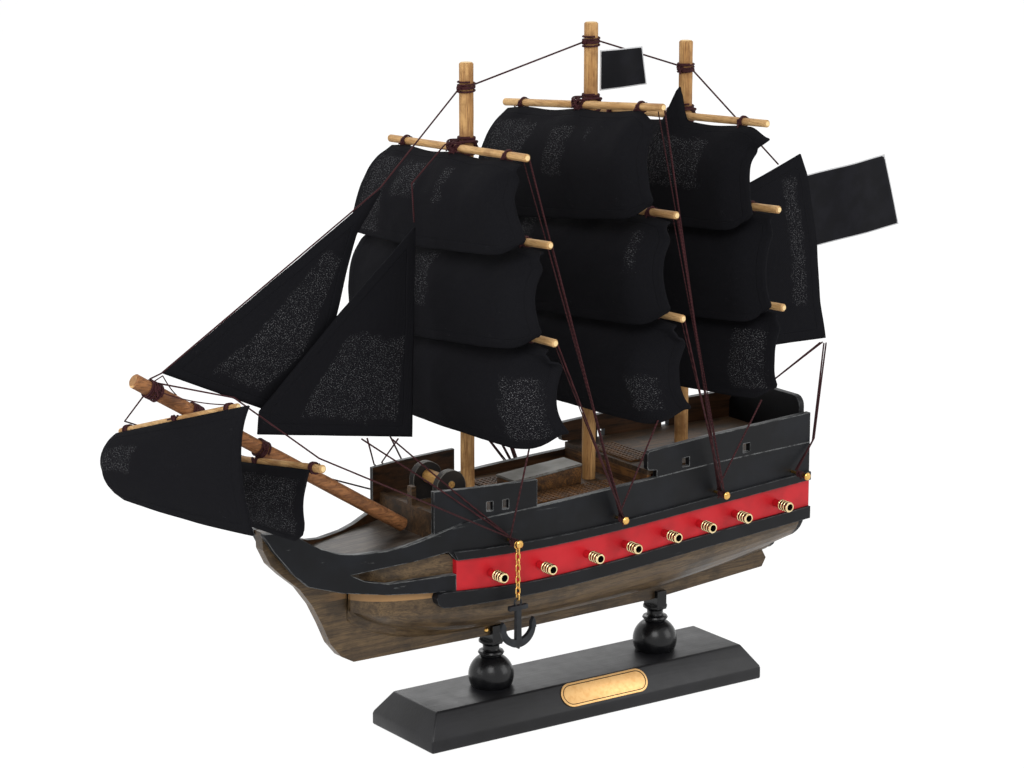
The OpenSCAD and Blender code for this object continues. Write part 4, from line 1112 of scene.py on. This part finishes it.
def board_on(name, node, look, proud, thick, slot):
    """A thin board on the sloping top of a wedge-shaped node, overhanging it a little."""
    (x0, y0, _), (x1, y1, _) = [[c / MM for c in corner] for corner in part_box(node)]
    points = [v.co / MM for v in frame["nodes"][node].data.vertices]
    low = max(p[2] for p in points if p[0] < x0 + 0.1)
    high = max(p[2] for p in points if p[0] > x1 - 0.1)
    slope = (high - low) / (x1 - x0)
    work = bmesh.new()
    bmesh.ops.create_cube(work, size=1)
    for vert in work.verts:
        x = (x0 - proud) if vert.co[0] < 0 else (x1 + proud)
        y = (y0 - proud) if vert.co[1] < 0 else (y1 + proud)
        z = low + slope * (x - x0) + 0.05 + (thick if vert.co[2] > 0 else 0)
        vert.co = (x, y, z)
    long_edges = [e for e in work.edges if abs(e.verts[0].co[0] - e.verts[1].co[0]) > 1]
    bmesh.ops.subdivide_edges(work, edges=long_edges, cuts=15)
    bmesh.ops.bevel(work, geom=[e for e in work.edges if e.calc_face_angle() > 0.5], offset=0.25, segments=2,
                    affect="EDGES")
    verts = [v.co.copy() for v in work.verts]
    for p in verts:
        p[2] += 0.12 * wobble(p, 5, 3)
    work.verts.index_update()
    faces = [tuple(v.index for v in face.verts) for face in work.faces]
    work.free()
    own(name, verts, faces, look, slot, smooth=False)


board_on("hatch_lid", "hatch_house", "worn_top", 0.3, 1.0, "deck_wood")


def plate_rim(name, node, inset, radius):
    """An engraved-looking line around the face of the nameplate."""
    mesh = frame["nodes"][node].data
    points = [v.co / MM for v in mesh.vertices]
    middle = sum(points, Vector()) / len(points)
    across = max(points, key=lambda p: p[0])[0] - middle[0]
    outer = [poly for poly in mesh.polygons if poly.normal[1] < -0.2 and poly.normal[2] > 0]
    face = max(outer, key=lambda poly: poly.area)
    out = face.normal.copy()
    up = Vector((1, 0, 0)).cross(out) * -1
    half = max((p - middle).dot(up) for p in points)
    lift = max((p - middle).dot(out) for p in points)
    r = half - inset
    run = across - half
    path = []
    for sign, start in ((1, -90), (-1, 90)):
        for k in range(13):
            a = math.radians(start + 15 * k)
            across_here = Vector((sign * run + r * math.cos(a), 0, 0))
            path.append(middle + across_here + up * (r * math.sin(a)) + out * lift)
    own(name, *tube(path, radius, closed=True, sides=8), "bore", "brass")


plate_rim("nameplate_rim", "nameplate", 1.0, 0.16)


HOLE_PITCH, GRATING_BAR, GRATING_THICK = 2.0, 0.85, 0.7


def grating(name, low, high, top):
    """A lattice of square holes between two corners (x, y), as one closed mesh below the height top."""
    nx = round((high[0] - low[0]) / HOLE_PITCH)
    ny = round((high[1] - low[1]) / HOLE_PITCH)
    bottom = top - GRATING_THICK
    px, py = (high[0] - low[0]) / nx, (high[1] - low[1]) / ny
    verts, faces, known = [], [], {}

    def vert(x, y, z):
        key = (round(x, 4), round(y, 4), round(z, 4))
        if key not in known:
            known[key] = len(verts)
            verts.append(key)
        return known[key]

    def wall(x, y, next_x, next_y, first, last):
        faces.append((vert(x, y, first), vert(next_x, next_y, first), vert(next_x, next_y, last),
                      vert(x, y, last)))

    for i in range(nx):
        for j in range(ny):
            x, y = low[0] + i * px, low[1] + j * py
            outer = [(x, y), (x + px, y), (x + px, y + py), (x, y + py)]
            b = GRATING_BAR / 2
            hole = [(x + b, y + b), (x + px - b, y + b), (x + px - b, y + py - b), (x + b, y + py - b)]
            for k in range(4):
                n = (k + 1) % 4
                faces.append(tuple(vert(*p, top) for p in (outer[k], outer[n], hole[n], hole[k])))
                faces.append(tuple(vert(*p, bottom) for p in (outer[n], outer[k], hole[k], hole[n])))
                wall(*hole[k], *hole[n], top, bottom)
    for i in range(nx):
        x = low[0] + i * px
        wall(x, low[1], x + px, low[1], bottom, top)
        wall(x + px, high[1], x, high[1], bottom, top)
    for j in range(ny):
        y = low[1] + j * py
        wall(low[0], y + py, low[0], y, bottom, top)
        wall(high[0], y, high[0], y + py, bottom, top)
    own(name, verts, faces, "front_wood", "deck_wood", smooth=False)


GRATING_RISE = 0.75
waist = [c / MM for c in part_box("waist_deck")[1]]
quarter = [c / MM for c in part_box("quarter_deck")[1]]
quarter_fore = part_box("quarter_deck")[0][0] / MM
hatch_low = [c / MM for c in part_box("hatch_house")[0]]
for sign, side in ((-1, "port"), (1, "starboard")):
    edges = sorted((sign * 8.0, sign * 20.0))
    grating(f"waist_grating_{side}", (hatch_low[0] - 3, edges[0]), (waist[0] - 2, edges[1]),
            waist[2] + GRATING_RISE)
grating("quarter_grating", (quarter_fore + 2, -14), (quarter_fore + 14, 14), quarter[2] + GRATING_RISE)
